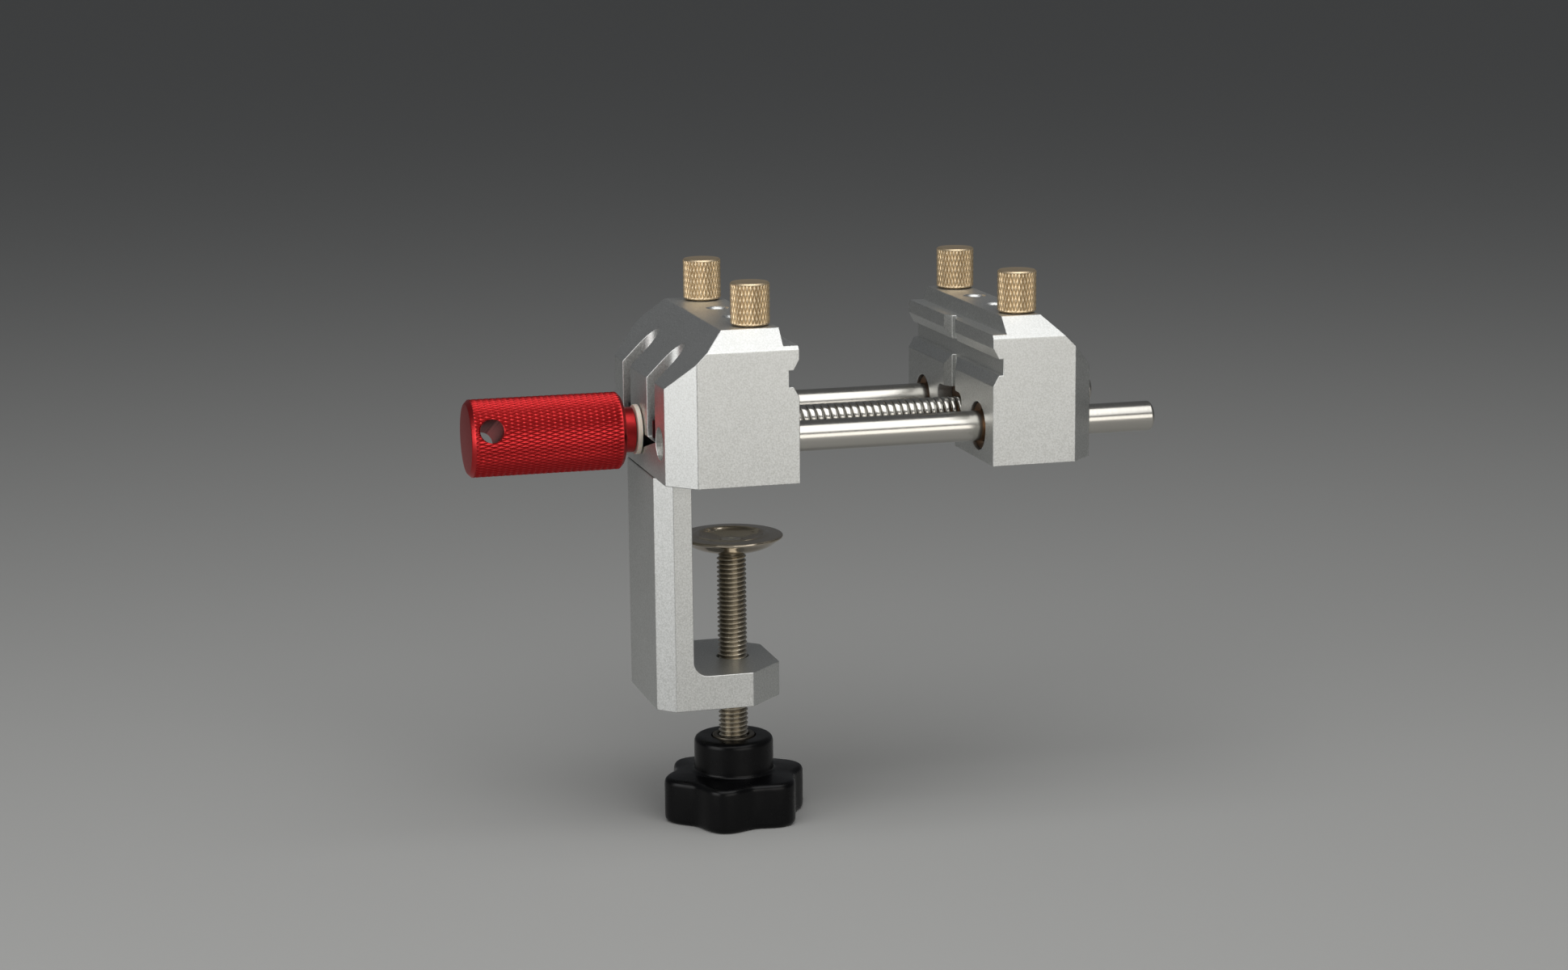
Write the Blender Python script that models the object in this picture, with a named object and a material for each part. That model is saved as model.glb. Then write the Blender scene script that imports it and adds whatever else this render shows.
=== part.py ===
"""Mini bench vise with a clamp for a table edge.

Metres, +Z up. The origin is on the clamp screw's axis, in the underside of the fixed jaw,
which is the plane that rests on the bench. +X runs from the handle to the moving jaw,
and +Y is across the jaws.
"""

from math import cos, pi, radians, sin, sqrt

import bmesh
import bpy
from mathutils import Matrix, Vector

for old in list(bpy.data.objects):
    bpy.data.objects.remove(old, do_unlink=True)

# Shared clearances and counts
FIT_GAP = 0.0003
CUT_OVERRUN = 0.002
EDGE_BREAK = 0.0003
MOUTH_CHAMFER = 0.0002
ROUND_STEPS = 32
RING_STEPS = 24
SMALL_STEPS = 16
THREAD_STEPS = 8
HEX_SIDES = 6
CORNER_STEPS = 5
SMOOTH_ANGLE = radians(35)
MERGE_DISTANCE = 0.000001

# Both jaws: outline and grooves
JAW_WIDTH = 0.072
JAW_HEIGHT = 0.040
LEDGE_DEPTH = 0.0039
LEDGE_DROP = 0.0042
LIP_HEIGHT = 0.0036
GROOVE_FACET_DEPTH = 0.00153
GROOVE_FACET_HEIGHT = 0.0028
GROOVE_SLOT_WIDTH = 0.0042
GROOVE_SLOT_DEPTH = 0.0012
TOP_BEVEL = 0.0052

# Fixed jaw
FIXED_LENGTH = 0.034
FIXED_CORNER_CHAMFER = 0.0070
FIXED_BACK_SLOPE = 0.0147
THROAT_SETBACK = 0.00935

# Moving jaw
JAW_OPENING = 0.0521
MOVING_LENGTH = 0.029
MOVING_CORNER_CHAMFER = 0.0062
MOVING_BACK_SLOPE = 0.0142
MOVING_LIFT = 0.0012

# Guide rods and their bushes
ROD_DIAMETER = 0.008
ROD_SPACING = 0.0466
DRIVE_HEIGHT = 0.010
ROD_RECESS = 0.0016
ROD_OVERHANG = 0.0198
ROD_END_ROUND = 0.0006
GUIDE_BUSH_WALL = 0.0018
GUIDE_BUSH_LENGTH = 0.0125
GUIDE_BUSH_RECESS = 0.0008
ROD_GRUB_DIAMETER = 0.004
ROD_GRUB_SETBACK = 0.012
ROD_GRUB_RECESS = 0.0006
GRUB_SOCKET_WIDTH = 0.0020
GRUB_SOCKET_DEPTH = 0.0018

# Lead screw, its bearing and its nut
LEAD_DIAMETER = 0.008
LEAD_PITCH = 0.002
LEAD_THREAD_DEPTH = 0.00115
LEAD_CREST_WIDTH = 0.00075
LEAD_ROOT_WIDTH = 0.00055
LEAD_END_INSIDE_JAW = 0.0235
LEAD_SHOULDER_DEPTH = 0.0045
LEAD_COLLAR_WIDTH = 0.0015
JOURNAL_DIAMETER = 0.006
SCREW_BUSH_WALL = 0.0012
SCREW_BUSH_RECESS = 0.0012
INNER_WASHER_THICKNESS = 0.0010
OUTER_WASHER_DIAMETER = 0.0132
OUTER_WASHER_THICKNESS = 0.0013
NUT_WIDTH = 0.0194
NUT_HEIGHT = 0.0120
NUT_LENGTH = 0.0120
NUT_RECESS = 0.0040
NUT_CORNER = 0.0022
NUT_SCREW_DIAMETER = 0.003
NUT_SCREW_SIDE_INSET = 0.0027
NUT_SCREW_BITE = 0.0050
NUT_SOCKET_WIDTH = 0.0015
SCREW_EXIT_DIAMETER = 0.0100

# Handle
HANDLE_DIAMETER = 0.0204
HANDLE_LENGTH = 0.0409
HANDLE_END_CHAMFER = 0.0010
HANDLE_NECK_DIAMETER = 0.0120
HANDLE_NECK_LENGTH = 0.0033
TOMMY_HOLE_DIAMETER = 0.0063
TOMMY_HOLE_SETBACK = 0.0054
TOMMY_HOLE_TURN = radians(20.0)
TOMMY_HOLE_CHAMFER = 0.0004
JOURNAL_END_SETBACK = 0.0125
HANDLE_GRUB_DIAMETER = 0.004
HANDLE_GRUB_SETBACK = 0.0100
HANDLE_GRUB_RECESS = 0.0008

# Clamp frame and the screws that hold the fixed jaw on it
POST_THICKNESS = 0.0093
LEG_THICKNESS = 0.0093
LEG_TOP_DEPTH = 0.0534
LEG_REACH = 0.0104
FRAME_BACK_CHAMFER = 0.0043
LEG_END_CHAMFER = 0.0097
FRAME_FILLET = 0.0040
FRAME_SCREW_DIAMETER = 0.005
FRAME_SCREW_HEAD_DIAMETER = 0.0085
FRAME_SCREW_HEAD_HEIGHT = 0.005
FRAME_SCREW_LENGTH = 0.020
FRAME_SCREW_SIDE_INSET = 0.0053
FRAME_SCREW_SOCKET_WIDTH = 0.004
FRAME_SCREW_SOCKET_DEPTH = 0.0025
FRAME_SCREW_SPARE = 0.001
POCKET_FLOOR_HEIGHT = 0.0097
POCKET_SIDE_CLEARANCE = 0.00025
POCKET_ROD_WEB = 0.0004

# Clamp screw, pad and star knob
CLAMP_DIAMETER = 0.008
CLAMP_PITCH = 0.00125
CLAMP_THREAD_DEPTH = 0.00072
PAD_RIM_DEPTH = 0.0200
PAD_DIAMETER = 0.0278
PAD_RIM_THICKNESS = 0.0007
PAD_RIDGE_DIAMETER = 0.0192
PAD_RIDGE_HEIGHT = 0.0004
PAD_RIDGE_WIDTH = 0.0008
PAD_DISH_DEPTH = 0.0019
PAD_BELLY_DIAMETER = 0.0210
PAD_BELLY_DEPTH = 0.0032
PAD_HUB_DIAMETER = 0.0086
PAD_HUB_DEPTH = 0.0048
PIVOT_DIAMETER = 0.0040
PIVOT_SHOULDER_GAP = 0.0004
RIVET_DIAMETER = 0.0056
RIVET_HEIGHT = 0.0005
KNOB_BELOW_LEG = 0.0128
KNOB_HUB_DIAMETER = 0.0214
KNOB_HUB_HEIGHT = 0.0096
KNOB_HUB_ROUND = 0.0012
KNOB_STAR_HEIGHT = 0.0127
KNOB_LOBES = 6
KNOB_DIAMETER = 0.0396
KNOB_HOLLOW_DEPTH = 0.0032
KNOB_EDGE_ROUND = 0.0014
KNOB_TURN = radians(6.0)
KNOB_OUTLINE_STEPS = 42
KNOB_SCREW_DEPTH = 0.0160
KNOB_THREAD_COVER = 0.0010
INSERT_WALL = 0.0014
INSERT_LENGTH = 0.0120
INSERT_PROUD = 0.0004

# Dog pins and their sockets
PIN_SETBACK = 0.0101
PIN_ROW_END_INSET = 0.01065
PIN_ROW_COUNT = 4
PIN_SOCKET_DIAMETER = 0.0048
PIN_SOCKET_DEPTH = 0.0110
PIN_HEAD_DIAMETER = 0.0102
PIN_HEAD_HEIGHT = 0.0110
PIN_HEAD_CHAMFER = 0.0004
PIN_SHANK_LENGTH = 0.0095
PIN_SHANK_CHAMFER = 0.0005

# Places that follow from the sizes above
FIXED_FACE_X = THROAT_SETBACK
FIXED_BACK_X = FIXED_FACE_X - FIXED_LENGTH
MOVING_FACE_X = FIXED_FACE_X + JAW_OPENING
MOVING_BACK_X = MOVING_FACE_X + MOVING_LENGTH
HALF_WIDTH = JAW_WIDTH / 2
LEDGE_Z = JAW_HEIGHT - LEDGE_DROP
GROOVE_MOUTH_WIDTH = GROOVE_SLOT_WIDTH + 2 * GROOVE_FACET_HEIGHT
GROOVE_Z = LEDGE_Z - LIP_HEIGHT - GROOVE_MOUTH_WIDTH / 2
GROOVE_DEPTH = GROOVE_FACET_DEPTH + GROOVE_SLOT_DEPTH
ROD_YS = (-ROD_SPACING / 2, ROD_SPACING / 2)
NUT_SCREW_Y = NUT_WIDTH / 2 - NUT_SCREW_SIDE_INSET
NUT_SCREW_YS = (-NUT_SCREW_Y, NUT_SCREW_Y)
SIDE_WORDS = ("near", "far")
ROD_RADIUS = ROD_DIAMETER / 2
ROD_BORE_RADIUS = ROD_RADIUS + FIT_GAP
POCKET_RADIUS = FRAME_SCREW_HEAD_DIAMETER / 2 + POCKET_SIDE_CLEARANCE
FRAME_SCREW_Y = ROD_SPACING / 2 - ROD_BORE_RADIUS - POCKET_ROD_WEB - POCKET_RADIUS
FRAME_SCREW_YS = (-FRAME_SCREW_Y, FRAME_SCREW_Y)
FRAME_WIDTH = 2 * (FRAME_SCREW_Y + FRAME_SCREW_SIDE_INSET)
GUIDE_BUSH_RADIUS = ROD_BORE_RADIUS + GUIDE_BUSH_WALL
GUIDE_BORE_RADIUS = GUIDE_BUSH_RADIUS + FIT_GAP
JOURNAL_RADIUS = JOURNAL_DIAMETER / 2
SCREW_BUSH_RADIUS = JOURNAL_RADIUS + FIT_GAP + SCREW_BUSH_WALL
SCREW_BORE_RADIUS = max(SCREW_BUSH_RADIUS, LEAD_DIAMETER / 2) + FIT_GAP
SHOULDER_X = FIXED_FACE_X - LEAD_SHOULDER_DEPTH
LEAD_END_X = MOVING_FACE_X + LEAD_END_INSIDE_JAW
OUTER_WASHER_X = FIXED_BACK_X - FIT_GAP - OUTER_WASHER_THICKNESS
HANDLE_NECK_X = OUTER_WASHER_X - FIT_GAP
HANDLE_INNER_X = HANDLE_NECK_X - HANDLE_NECK_LENGTH
HANDLE_OUTER_X = HANDLE_INNER_X - HANDLE_LENGTH
JOURNAL_END_X = HANDLE_OUTER_X + JOURNAL_END_SETBACK
POST_BACK_X = FIXED_BACK_X
POST_FRONT_X = POST_BACK_X + POST_THICKNESS
POST_MIDDLE_X = (POST_BACK_X + POST_FRONT_X) / 2
LEG_TOP_Z = -LEG_TOP_DEPTH
LEG_BOTTOM_Z = LEG_TOP_Z - LEG_THICKNESS
PAD_RIM_Z = -PAD_RIM_DEPTH
PIVOT_TOP_Z = PAD_RIM_Z - PAD_DISH_DEPTH + FIT_GAP
CLAMP_THREAD_TOP_Z = PAD_RIM_Z - PAD_HUB_DEPTH - PIVOT_SHOULDER_GAP
KNOB_HUB_TOP_Z = LEG_BOTTOM_Z - KNOB_BELOW_LEG
KNOB_STAR_TOP_Z = KNOB_HUB_TOP_Z - KNOB_HUB_HEIGHT
KNOB_BOTTOM_Z = KNOB_STAR_TOP_Z - KNOB_STAR_HEIGHT
CLAMP_BORE_RADIUS = CLAMP_DIAMETER / 2 + FIT_GAP
INSERT_RADIUS = CLAMP_BORE_RADIUS + INSERT_WALL
FIXED_PIN_X = FIXED_FACE_X - PIN_SETBACK
MOVING_PIN_X = MOVING_FACE_X + PIN_SETBACK
PIN_ROW_PITCH = (JAW_WIDTH - 2 * PIN_ROW_END_INSET) / (PIN_ROW_COUNT - 1)
PIN_SOCKET_YS = [PIN_ROW_PITCH * (i - (PIN_ROW_COUNT - 1) / 2) for i in range(PIN_ROW_COUNT)]


def finish(name, color, metallic, roughness):
    """A plain surface finish."""
    material = bpy.data.materials.new(name)
    material.use_nodes = True
    shader = material.node_tree.nodes["Principled BSDF"]
    shader.inputs["Base Color"].default_value = (*color, 1.0)
    shader.inputs["Metallic"].default_value = metallic
    shader.inputs["Roughness"].default_value = roughness
    material.diffuse_color = (*color, 1.0)
    return material


def own_finish(base, name):
    """A copy of a finish, so that each piece has a material of its own."""
    material = base.copy()
    material.name = f"{name}_finish"
    return material


SILVER_ANODISED = finish("silver anodised aluminium", (0.62, 0.63, 0.62), 0.9, 0.42)
RED_ANODISED = finish("red anodised aluminium", (0.50, 0.01, 0.015), 0.85, 0.35)
GROUND_STEEL = finish("ground stainless steel", (0.60, 0.59, 0.56), 1.0, 0.22)
ZINC_STEEL = finish("zinc plated steel", (0.52, 0.49, 0.44), 1.0, 0.32)
BLACK_STEEL = finish("black oxide steel", (0.03, 0.03, 0.032), 0.8, 0.42)
BRONZE = finish("sintered bronze", (0.45, 0.27, 0.12), 0.95, 0.40)
BRASS = finish("brass", (0.70, 0.50, 0.24), 1.0, 0.30)
NYLON = finish("off-white nylon", (0.72, 0.68, 0.58), 0.0, 0.45)
BLACK_PLASTIC = finish("black plastic", (0.012, 0.012, 0.013), 0.0, 0.25)


def carrier(name, location, parent=None):
    """An empty on a joint's axis, which carries the pieces that move with it."""
    empty = bpy.data.objects.new(name, None)
    bpy.context.collection.objects.link(empty)
    empty.parent = parent
    empty.location = Vector(location) - (parent.matrix_world.translation if parent else Vector())
    bpy.context.view_layer.update()
    return empty


def add_piece(name, shape, material, parent=None, smooth=True):
    """Turn a bmesh, drawn in world places, into a named object on its carrier."""
    bmesh.ops.recalc_face_normals(shape, faces=shape.faces)
    mesh = bpy.data.meshes.new(name)
    shape.to_mesh(mesh)
    shape.free()
    if smooth:
        mesh.shade_smooth()
        mesh.set_sharp_from_angle(angle=SMOOTH_ANGLE)
    piece = bpy.data.objects.new(name, mesh)
    bpy.context.collection.objects.link(piece)
    if material:
        mesh.materials.append(own_finish(material, name))
    if parent:
        piece.parent = parent
        mesh.transform(Matrix.Translation(-parent.matrix_world.translation))
    return piece


def add_cutter(name, shape, piece):
    """Cut a shape out of a piece, keeping the cutter as a hidden guide."""
    cutter = add_piece(name, shape, None, piece.parent, smooth=False)
    cutter.hide_render = True
    cutter.display_type = "WIRE"
    cut = piece.modifiers.new(name, "BOOLEAN")
    cut.operation = "DIFFERENCE"
    cut.solver = "EXACT"
    cut.object = cutter
    return cutter


def prism(outline, low, high, place):
    """A closed prism: a flat outline swept from low to high; place maps (a, b, c) to a point."""
    shape = bmesh.new()
    ends = [[shape.verts.new(place(a, b, c)) for a, b in outline] for c in (low, high)]
    for ring in ends:
        shape.faces.new(ring)
    count = len(outline)
    for i in range(count):
        j = (i + 1) % count
        shape.faces.new((ends[0][i], ends[0][j], ends[1][j], ends[1][i]))
    bmesh.ops.recalc_face_normals(shape, faces=shape.faces)
    return shape


def across(a, b, c):
    """Outline in X and Z, swept along Y."""
    return (a, c, b)


def upward(a, b, c):
    """Outline in X and Y, swept along Z."""
    return (a, b, c)


def lengthwise(a, b, c):
    """Outline in Y and Z, swept along X."""
    return (c, a, b)


def slice_off(shape, point, normal):
    """Cut a flat facet: everything beyond the plane goes, and the cut is closed."""
    geometry = shape.verts[:] + shape.edges[:] + shape.faces[:]
    cut = bmesh.ops.bisect_plane(
        shape, geom=geometry, plane_co=point, plane_no=normal, clear_outer=True
    )
    rim = [item for item in cut["geom_cut"] if isinstance(item, bmesh.types.BMEdge)]
    bmesh.ops.edgeloop_fill(shape, edges=rim)


def break_edges(shape, width):
    """Break the sharp outer edges of a machined block with a narrow chamfer."""
    bmesh.ops.recalc_face_normals(shape, faces=shape.faces)
    edges = [edge for edge in shape.edges if edge.is_convex and edge.calc_face_angle(0) > SMOOTH_ANGLE / 2]
    bmesh.ops.bevel(shape, geom=edges, offset=width, segments=1, affect="EDGES", clamp_overlap=True)


def turned(profile, steps, place, closed=False):
    """A turned shape about an axis. profile holds (radius, distance along the axis);
    an open profile starts and ends on the axis, a closed one goes round a ring's wall."""
    shape = bmesh.new()
    rows = []
    for radius, along in profile:
        if radius == 0:
            rows.append([shape.verts.new(place(0, 0, along))])
            continue
        angles = [2 * pi * i / steps for i in range(steps)]
        rows.append([shape.verts.new(place(radius * cos(t), radius * sin(t), along)) for t in angles])
    pairs = list(zip(rows, rows[1:]))
    if closed:
        pairs.append((rows[-1], rows[0]))
    for lower, upper in pairs:
        for i in range(steps):
            j = (i + 1) % steps
            corners = [lower[i % len(lower)], lower[j % len(lower)]]
            corners += [upper[j % len(upper)], upper[i % len(upper)]]
            shape.faces.new(list(dict.fromkeys(corners)))
    bmesh.ops.recalc_face_normals(shape, faces=shape.faces)
    return shape


def along_x(y, z):
    """Turning axis along X, through a height and a side place."""
    return lambda a, b, c: (c, y + a, z + b)


def along_y(x, z):
    """Turning axis along Y."""
    return lambda a, b, c: (x + b, c, z + a)


def across_tilted(x, z, tilt):
    """Turning axis across the part, its near end raised by an angle."""
    return lambda a, b, c: (x + b, c * cos(tilt) + a * sin(tilt), z + a * cos(tilt) - c * sin(tilt))


def along_z(x, y):
    """Turning axis along Z."""
    return lambda a, b, c: (x + a, y + b, c)


def through_hole(radius, start, end, chamfer=MOUTH_CHAMFER):
    """Profile of a cutter for a hole right through, with both mouths chamfered."""
    wide = radius + chamfer + CUT_OVERRUN
    return [
        (0, start - CUT_OVERRUN),
        (wide, start - CUT_OVERRUN),
        (radius, start + chamfer),
        (radius, end - chamfer),
        (wide, end + CUT_OVERRUN),
        (0, end + CUT_OVERRUN),
    ]


def blind_hole(radius, floor, mouth, chamfer=MOUTH_CHAMFER):
    """Profile of a cutter for a hole from its floor to a chamfered mouth."""
    outward = 1 if mouth > floor else -1
    wide = radius + chamfer + CUT_OVERRUN
    return [
        (0, floor),
        (radius, floor),
        (radius, mouth - outward * chamfer),
        (wide, mouth + outward * CUT_OVERRUN),
        (0, mouth + outward * CUT_OVERRUN),
    ]


def rod_profile(radius, start, end, chamfer):
    """Profile of a solid bar with both ends chamfered."""
    return [
        (0, start),
        (radius - chamfer, start),
        (radius, start + chamfer),
        (radius, end - chamfer),
        (radius - chamfer, end),
        (0, end),
    ]


def ring_profile(inner, outer, start, end, chamfer):
    """Profile of a plain ring or bush with its outer corners chamfered."""
    return [
        (inner, start),
        (outer - chamfer, start),
        (outer, start + chamfer),
        (outer, end - chamfer),
        (outer - chamfer, end),
        (inner, end),
    ]


def socket_recess(width, floor, mouth, place):
    """Cutter for a hexagon socket, by its width across flats."""
    radius = width / 2 / cos(pi / HEX_SIDES)
    profile = [(0, floor), (radius, floor), (radius, mouth), (0, mouth)]
    return turned(profile, HEX_SIDES, place)


def threaded_bar(radius, depth, crest, root, pitch, start, end, before, after, place):
    """A bar with one helical thread between start and end, and plain turned stretches
    before and after it, as (radius, distance) lists. The thread's ends are chamfered."""
    flank = (pitch - crest - root) / 2
    core = radius - depth
    marks = [(0, core), (root, core), (root + flank, radius), (root + flank + crest, radius)]
    if crest == 0 and root == 0:
        marks = marks[1:3]
    turns = int((end - start) / pitch) + 3
    shape = bmesh.new()
    columns = []
    for i in range(THREAD_STEPS + 1):
        turn = i / THREAD_STEPS
        column = list(before)
        for k in range(turns):
            for offset, height in marks:
                along = min(max(start + (k - 1 + turn) * pitch + offset, start), end)
                column.append((min(height, core + along - start, core + end - along), along))
        column += after
        angle = 2 * pi * turn
        columns.append([shape.verts.new(place(r * cos(angle), r * sin(angle), z)) for r, z in column])
    for left, right in zip(columns, columns[1:]):
        for row in range(len(left) - 1):
            shape.faces.new((left[row], right[row], right[row + 1], left[row + 1]))
    shape.faces.new([column[0] for column in columns[:-1]])
    shape.faces.new([column[-1] for column in columns[:-1]])
    bmesh.ops.remove_doubles(shape, verts=shape.verts, dist=MERGE_DISTANCE)
    bmesh.ops.recalc_face_normals(shape, faces=shape.faces)
    return shape


def joined(shapes):
    """Several separate shapes in one mesh, for a group of like cuts."""
    whole = bmesh.new()
    for shape in shapes:
        mesh = bpy.data.meshes.new("joined")
        shape.to_mesh(mesh)
        shape.free()
        whole.from_mesh(mesh)
        bpy.data.meshes.remove(mesh)
    return whole


def jaw_block(face_x, inward, length, bottom, back_slope, corner_chamfer):
    """A jaw block: face at face_x, body running inward (+1 or -1) along X."""
    facet = GROOVE_FACET_DEPTH
    mouth = GROOVE_MOUTH_WIDTH / 2
    slot = GROOVE_SLOT_WIDTH / 2
    section = [
        (0, bottom),
        (0, GROOVE_Z - mouth),
        (facet, GROOVE_Z - slot),
        (GROOVE_DEPTH, GROOVE_Z - slot),
        (GROOVE_DEPTH, GROOVE_Z + slot),
        (facet, GROOVE_Z + slot),
        (0, GROOVE_Z + mouth),
        (0, LEDGE_Z),
        (LEDGE_DEPTH, LEDGE_Z),
        (LEDGE_DEPTH, JAW_HEIGHT),
        (length - back_slope, JAW_HEIGHT),
        (length, JAW_HEIGHT - back_slope),
        (length, bottom),
    ]
    outline = [(face_x + inward * depth, z) for depth, z in section]
    block = prism(outline, -HALF_WIDTH, HALF_WIDTH, across)
    back = face_x + inward * length
    for side in (-1, 1):
        slice_off(block, (back, side * (HALF_WIDTH - corner_chamfer), 0), (inward, side, 0))
        slice_off(block, (0, side * (HALF_WIDTH - TOP_BEVEL), JAW_HEIGHT), (0, side, 1))
    break_edges(block, EDGE_BREAK)
    return block


def upright_groove(face_x, inward, bottom):
    """Cutter for the upright groove in a jaw's face, of the level groove's section."""
    facet = GROOVE_FACET_DEPTH
    slot = GROOVE_SLOT_WIDTH / 2
    flare = slot + GROOVE_FACET_HEIGHT * (facet + CUT_OVERRUN) / facet
    section = [
        (-CUT_OVERRUN, -flare),
        (facet, -slot),
        (GROOVE_DEPTH, -slot),
        (GROOVE_DEPTH, slot),
        (facet, slot),
        (-CUT_OVERRUN, flare),
    ]
    outline = [(face_x + inward * depth, y) for depth, y in section]
    return prism(outline, bottom - CUT_OVERRUN, LEDGE_Z + CUT_OVERRUN, upward)


def pin_sockets(x):
    """Cutter for the row of pin sockets in a jaw's top."""
    profile = blind_hole(PIN_SOCKET_DIAMETER / 2, JAW_HEIGHT - PIN_SOCKET_DEPTH, JAW_HEIGHT)
    return joined([turned(profile, SMALL_STEPS, along_z(x, y)) for y in PIN_SOCKET_YS])


def pair_along_x(profile, steps):
    """The same turned shape on both guide rods' axes."""
    return joined([turned(profile, steps, along_x(y, DRIVE_HEIGHT)) for y in ROD_YS])


def rounded_rectangle(width, height, corner, center_y, center_z):
    """Outline of a slot with round corners, in Y and Z."""
    points = []
    for quarter in range(4):
        turn = quarter * pi / 2
        side_y = 1 if quarter in (0, 3) else -1
        side_z = 1 if quarter in (0, 1) else -1
        for step in range(CORNER_STEPS + 1):
            angle = turn + step / CORNER_STEPS * pi / 2
            y = center_y + side_y * (width / 2 - corner) + corner * cos(angle)
            z = center_z + side_z * (height / 2 - corner) + corner * sin(angle)
            points.append((y, z))
    return points


DRIVE_AXIS = along_x(0, DRIVE_HEIGHT)

# The fixed jaw: a milled block with two open pockets for the frame's screws
block = jaw_block(FIXED_FACE_X, -1, FIXED_LENGTH, 0, FIXED_BACK_SLOPE, FIXED_CORNER_CHAMFER)
fixed_jaw = add_piece("fixed_jaw_block", block, SILVER_ANODISED, smooth=False)
add_cutter("fixed_groove_cutter", upright_groove(FIXED_FACE_X, -1, 0), fixed_jaw)
add_cutter("fixed_pin_socket_cutter", pin_sockets(FIXED_PIN_X), fixed_jaw)
rod_hole = through_hole(ROD_BORE_RADIUS, FIXED_BACK_X, FIXED_FACE_X, 0)
add_cutter("fixed_rod_bore_cutter", pair_along_x(rod_hole, ROUND_STEPS), fixed_jaw)
screw_hole = through_hole(SCREW_BORE_RADIUS, FIXED_BACK_X, FIXED_FACE_X)
screw_bore = turned(screw_hole, ROUND_STEPS, DRIVE_AXIS)
add_cutter("fixed_screw_bore_cutter", screw_bore, fixed_jaw)


def pocket(y):
    """Cutter for a pocket, open at the jaw's back and top, over one frame screw."""
    outline = [(FIXED_BACK_X - CUT_OVERRUN, y - POCKET_RADIUS)]
    for step in range(ROUND_STEPS // 2 + 1):
        angle = pi * (step / (ROUND_STEPS // 2) - 1 / 2)
        outline.append((POST_MIDDLE_X + POCKET_RADIUS * cos(angle), y + POCKET_RADIUS * sin(angle)))
    outline.append((FIXED_BACK_X - CUT_OVERRUN, y + POCKET_RADIUS))
    return prism(outline, POCKET_FLOOR_HEIGHT, JAW_HEIGHT + CUT_OVERRUN, upward)


add_cutter("pocket_cutter", joined([pocket(y) for y in FRAME_SCREW_YS]), fixed_jaw)
passage_radius = FRAME_SCREW_DIAMETER / 2 + FIT_GAP
passage = rod_profile(passage_radius, -CUT_OVERRUN, POCKET_FLOOR_HEIGHT + CUT_OVERRUN, 0)
passages = joined([turned(passage, SMALL_STEPS, along_z(POST_MIDDLE_X, y)) for y in FRAME_SCREW_YS])
add_cutter("frame_screw_passage_cutter", passages, fixed_jaw)
grub_x = FIXED_FACE_X - ROD_GRUB_SETBACK
grub_hole = blind_hole(ROD_GRUB_DIAMETER / 2 + FIT_GAP, DRIVE_HEIGHT, 0)
grub_holes = joined([turned(grub_hole, SMALL_STEPS, along_z(grub_x, y)) for y in ROD_YS])
add_cutter("rod_grub_hole_cutter", grub_holes, fixed_jaw)

# The clamp frame: an L of thick bar, its post under the fixed jaw and its leg under the bench
fillet = [(POST_FRONT_X + FRAME_FILLET * (1 - cos(pi / 2 * step / CORNER_STEPS)),
           LEG_TOP_Z + FRAME_FILLET * (1 - sin(pi / 2 * step / CORNER_STEPS)))
          for step in range(CORNER_STEPS + 1)]
frame_outline = [(POST_BACK_X, -FIT_GAP), (POST_FRONT_X, -FIT_GAP)]
frame_outline += fillet
frame_outline += [(LEG_REACH, LEG_TOP_Z), (LEG_REACH, LEG_BOTTOM_Z), (POST_BACK_X, LEG_BOTTOM_Z)]
frame_shape = prism(frame_outline, -FRAME_WIDTH / 2, FRAME_WIDTH / 2, across)
for side in (-1, 1):
    back_edge = side * (FRAME_WIDTH / 2 - FRAME_BACK_CHAMFER)
    slice_off(frame_shape, (POST_BACK_X, back_edge, 0), (-1, side, 0))
    end_edge = side * (FRAME_WIDTH / 2 - LEG_END_CHAMFER)
    slice_off(frame_shape, (LEG_REACH, end_edge, 0), (1, side, 0))
break_edges(frame_shape, EDGE_BREAK)
clamp_frame = add_piece("clamp_frame", frame_shape, SILVER_ANODISED)
frame_screw_tip = POCKET_FLOOR_HEIGHT + FIT_GAP - FRAME_SCREW_LENGTH
tapped = blind_hole(passage_radius, frame_screw_tip - FRAME_SCREW_SPARE, -FIT_GAP)
tapped_holes = joined([turned(tapped, SMALL_STEPS, along_z(POST_MIDDLE_X, y)) for y in FRAME_SCREW_YS])
add_cutter("frame_tapped_hole_cutter", tapped_holes, clamp_frame)
clamp_hole = through_hole(CLAMP_BORE_RADIUS, LEG_BOTTOM_Z, LEG_TOP_Z)
add_cutter("clamp_hole_cutter", turned(clamp_hole, ROUND_STEPS, along_z(0, 0)), clamp_frame)

# Two socket cap screws, up from the pockets' floors into the post
head_bottom = POCKET_FLOOR_HEIGHT + FIT_GAP
head_top = head_bottom + FRAME_SCREW_HEAD_HEIGHT
head_radius = FRAME_SCREW_HEAD_DIAMETER / 2
shank_radius = FRAME_SCREW_DIAMETER / 2
cap_screw = [
    (0, frame_screw_tip),
    (shank_radius - FIT_GAP, frame_screw_tip),
    (shank_radius, frame_screw_tip + FIT_GAP),
    (shank_radius, head_bottom),
    (head_radius, head_bottom),
    (head_radius, head_top - EDGE_BREAK),
    (head_radius - EDGE_BREAK, head_top),
    (0, head_top),
]
for y, word in zip(FRAME_SCREW_YS, SIDE_WORDS):
    axis = along_z(POST_MIDDLE_X, y)
    cap_screw_piece = add_piece(f"frame_screw_{word}", turned(cap_screw, SMALL_STEPS, axis), BLACK_STEEL)
    cap_socket = socket_recess(FRAME_SCREW_SOCKET_WIDTH, head_top - FRAME_SCREW_SOCKET_DEPTH,
                               head_top + CUT_OVERRUN, axis)
    add_cutter(f"frame_screw_{word}_socket_cutter", cap_socket, cap_screw_piece)

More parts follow.
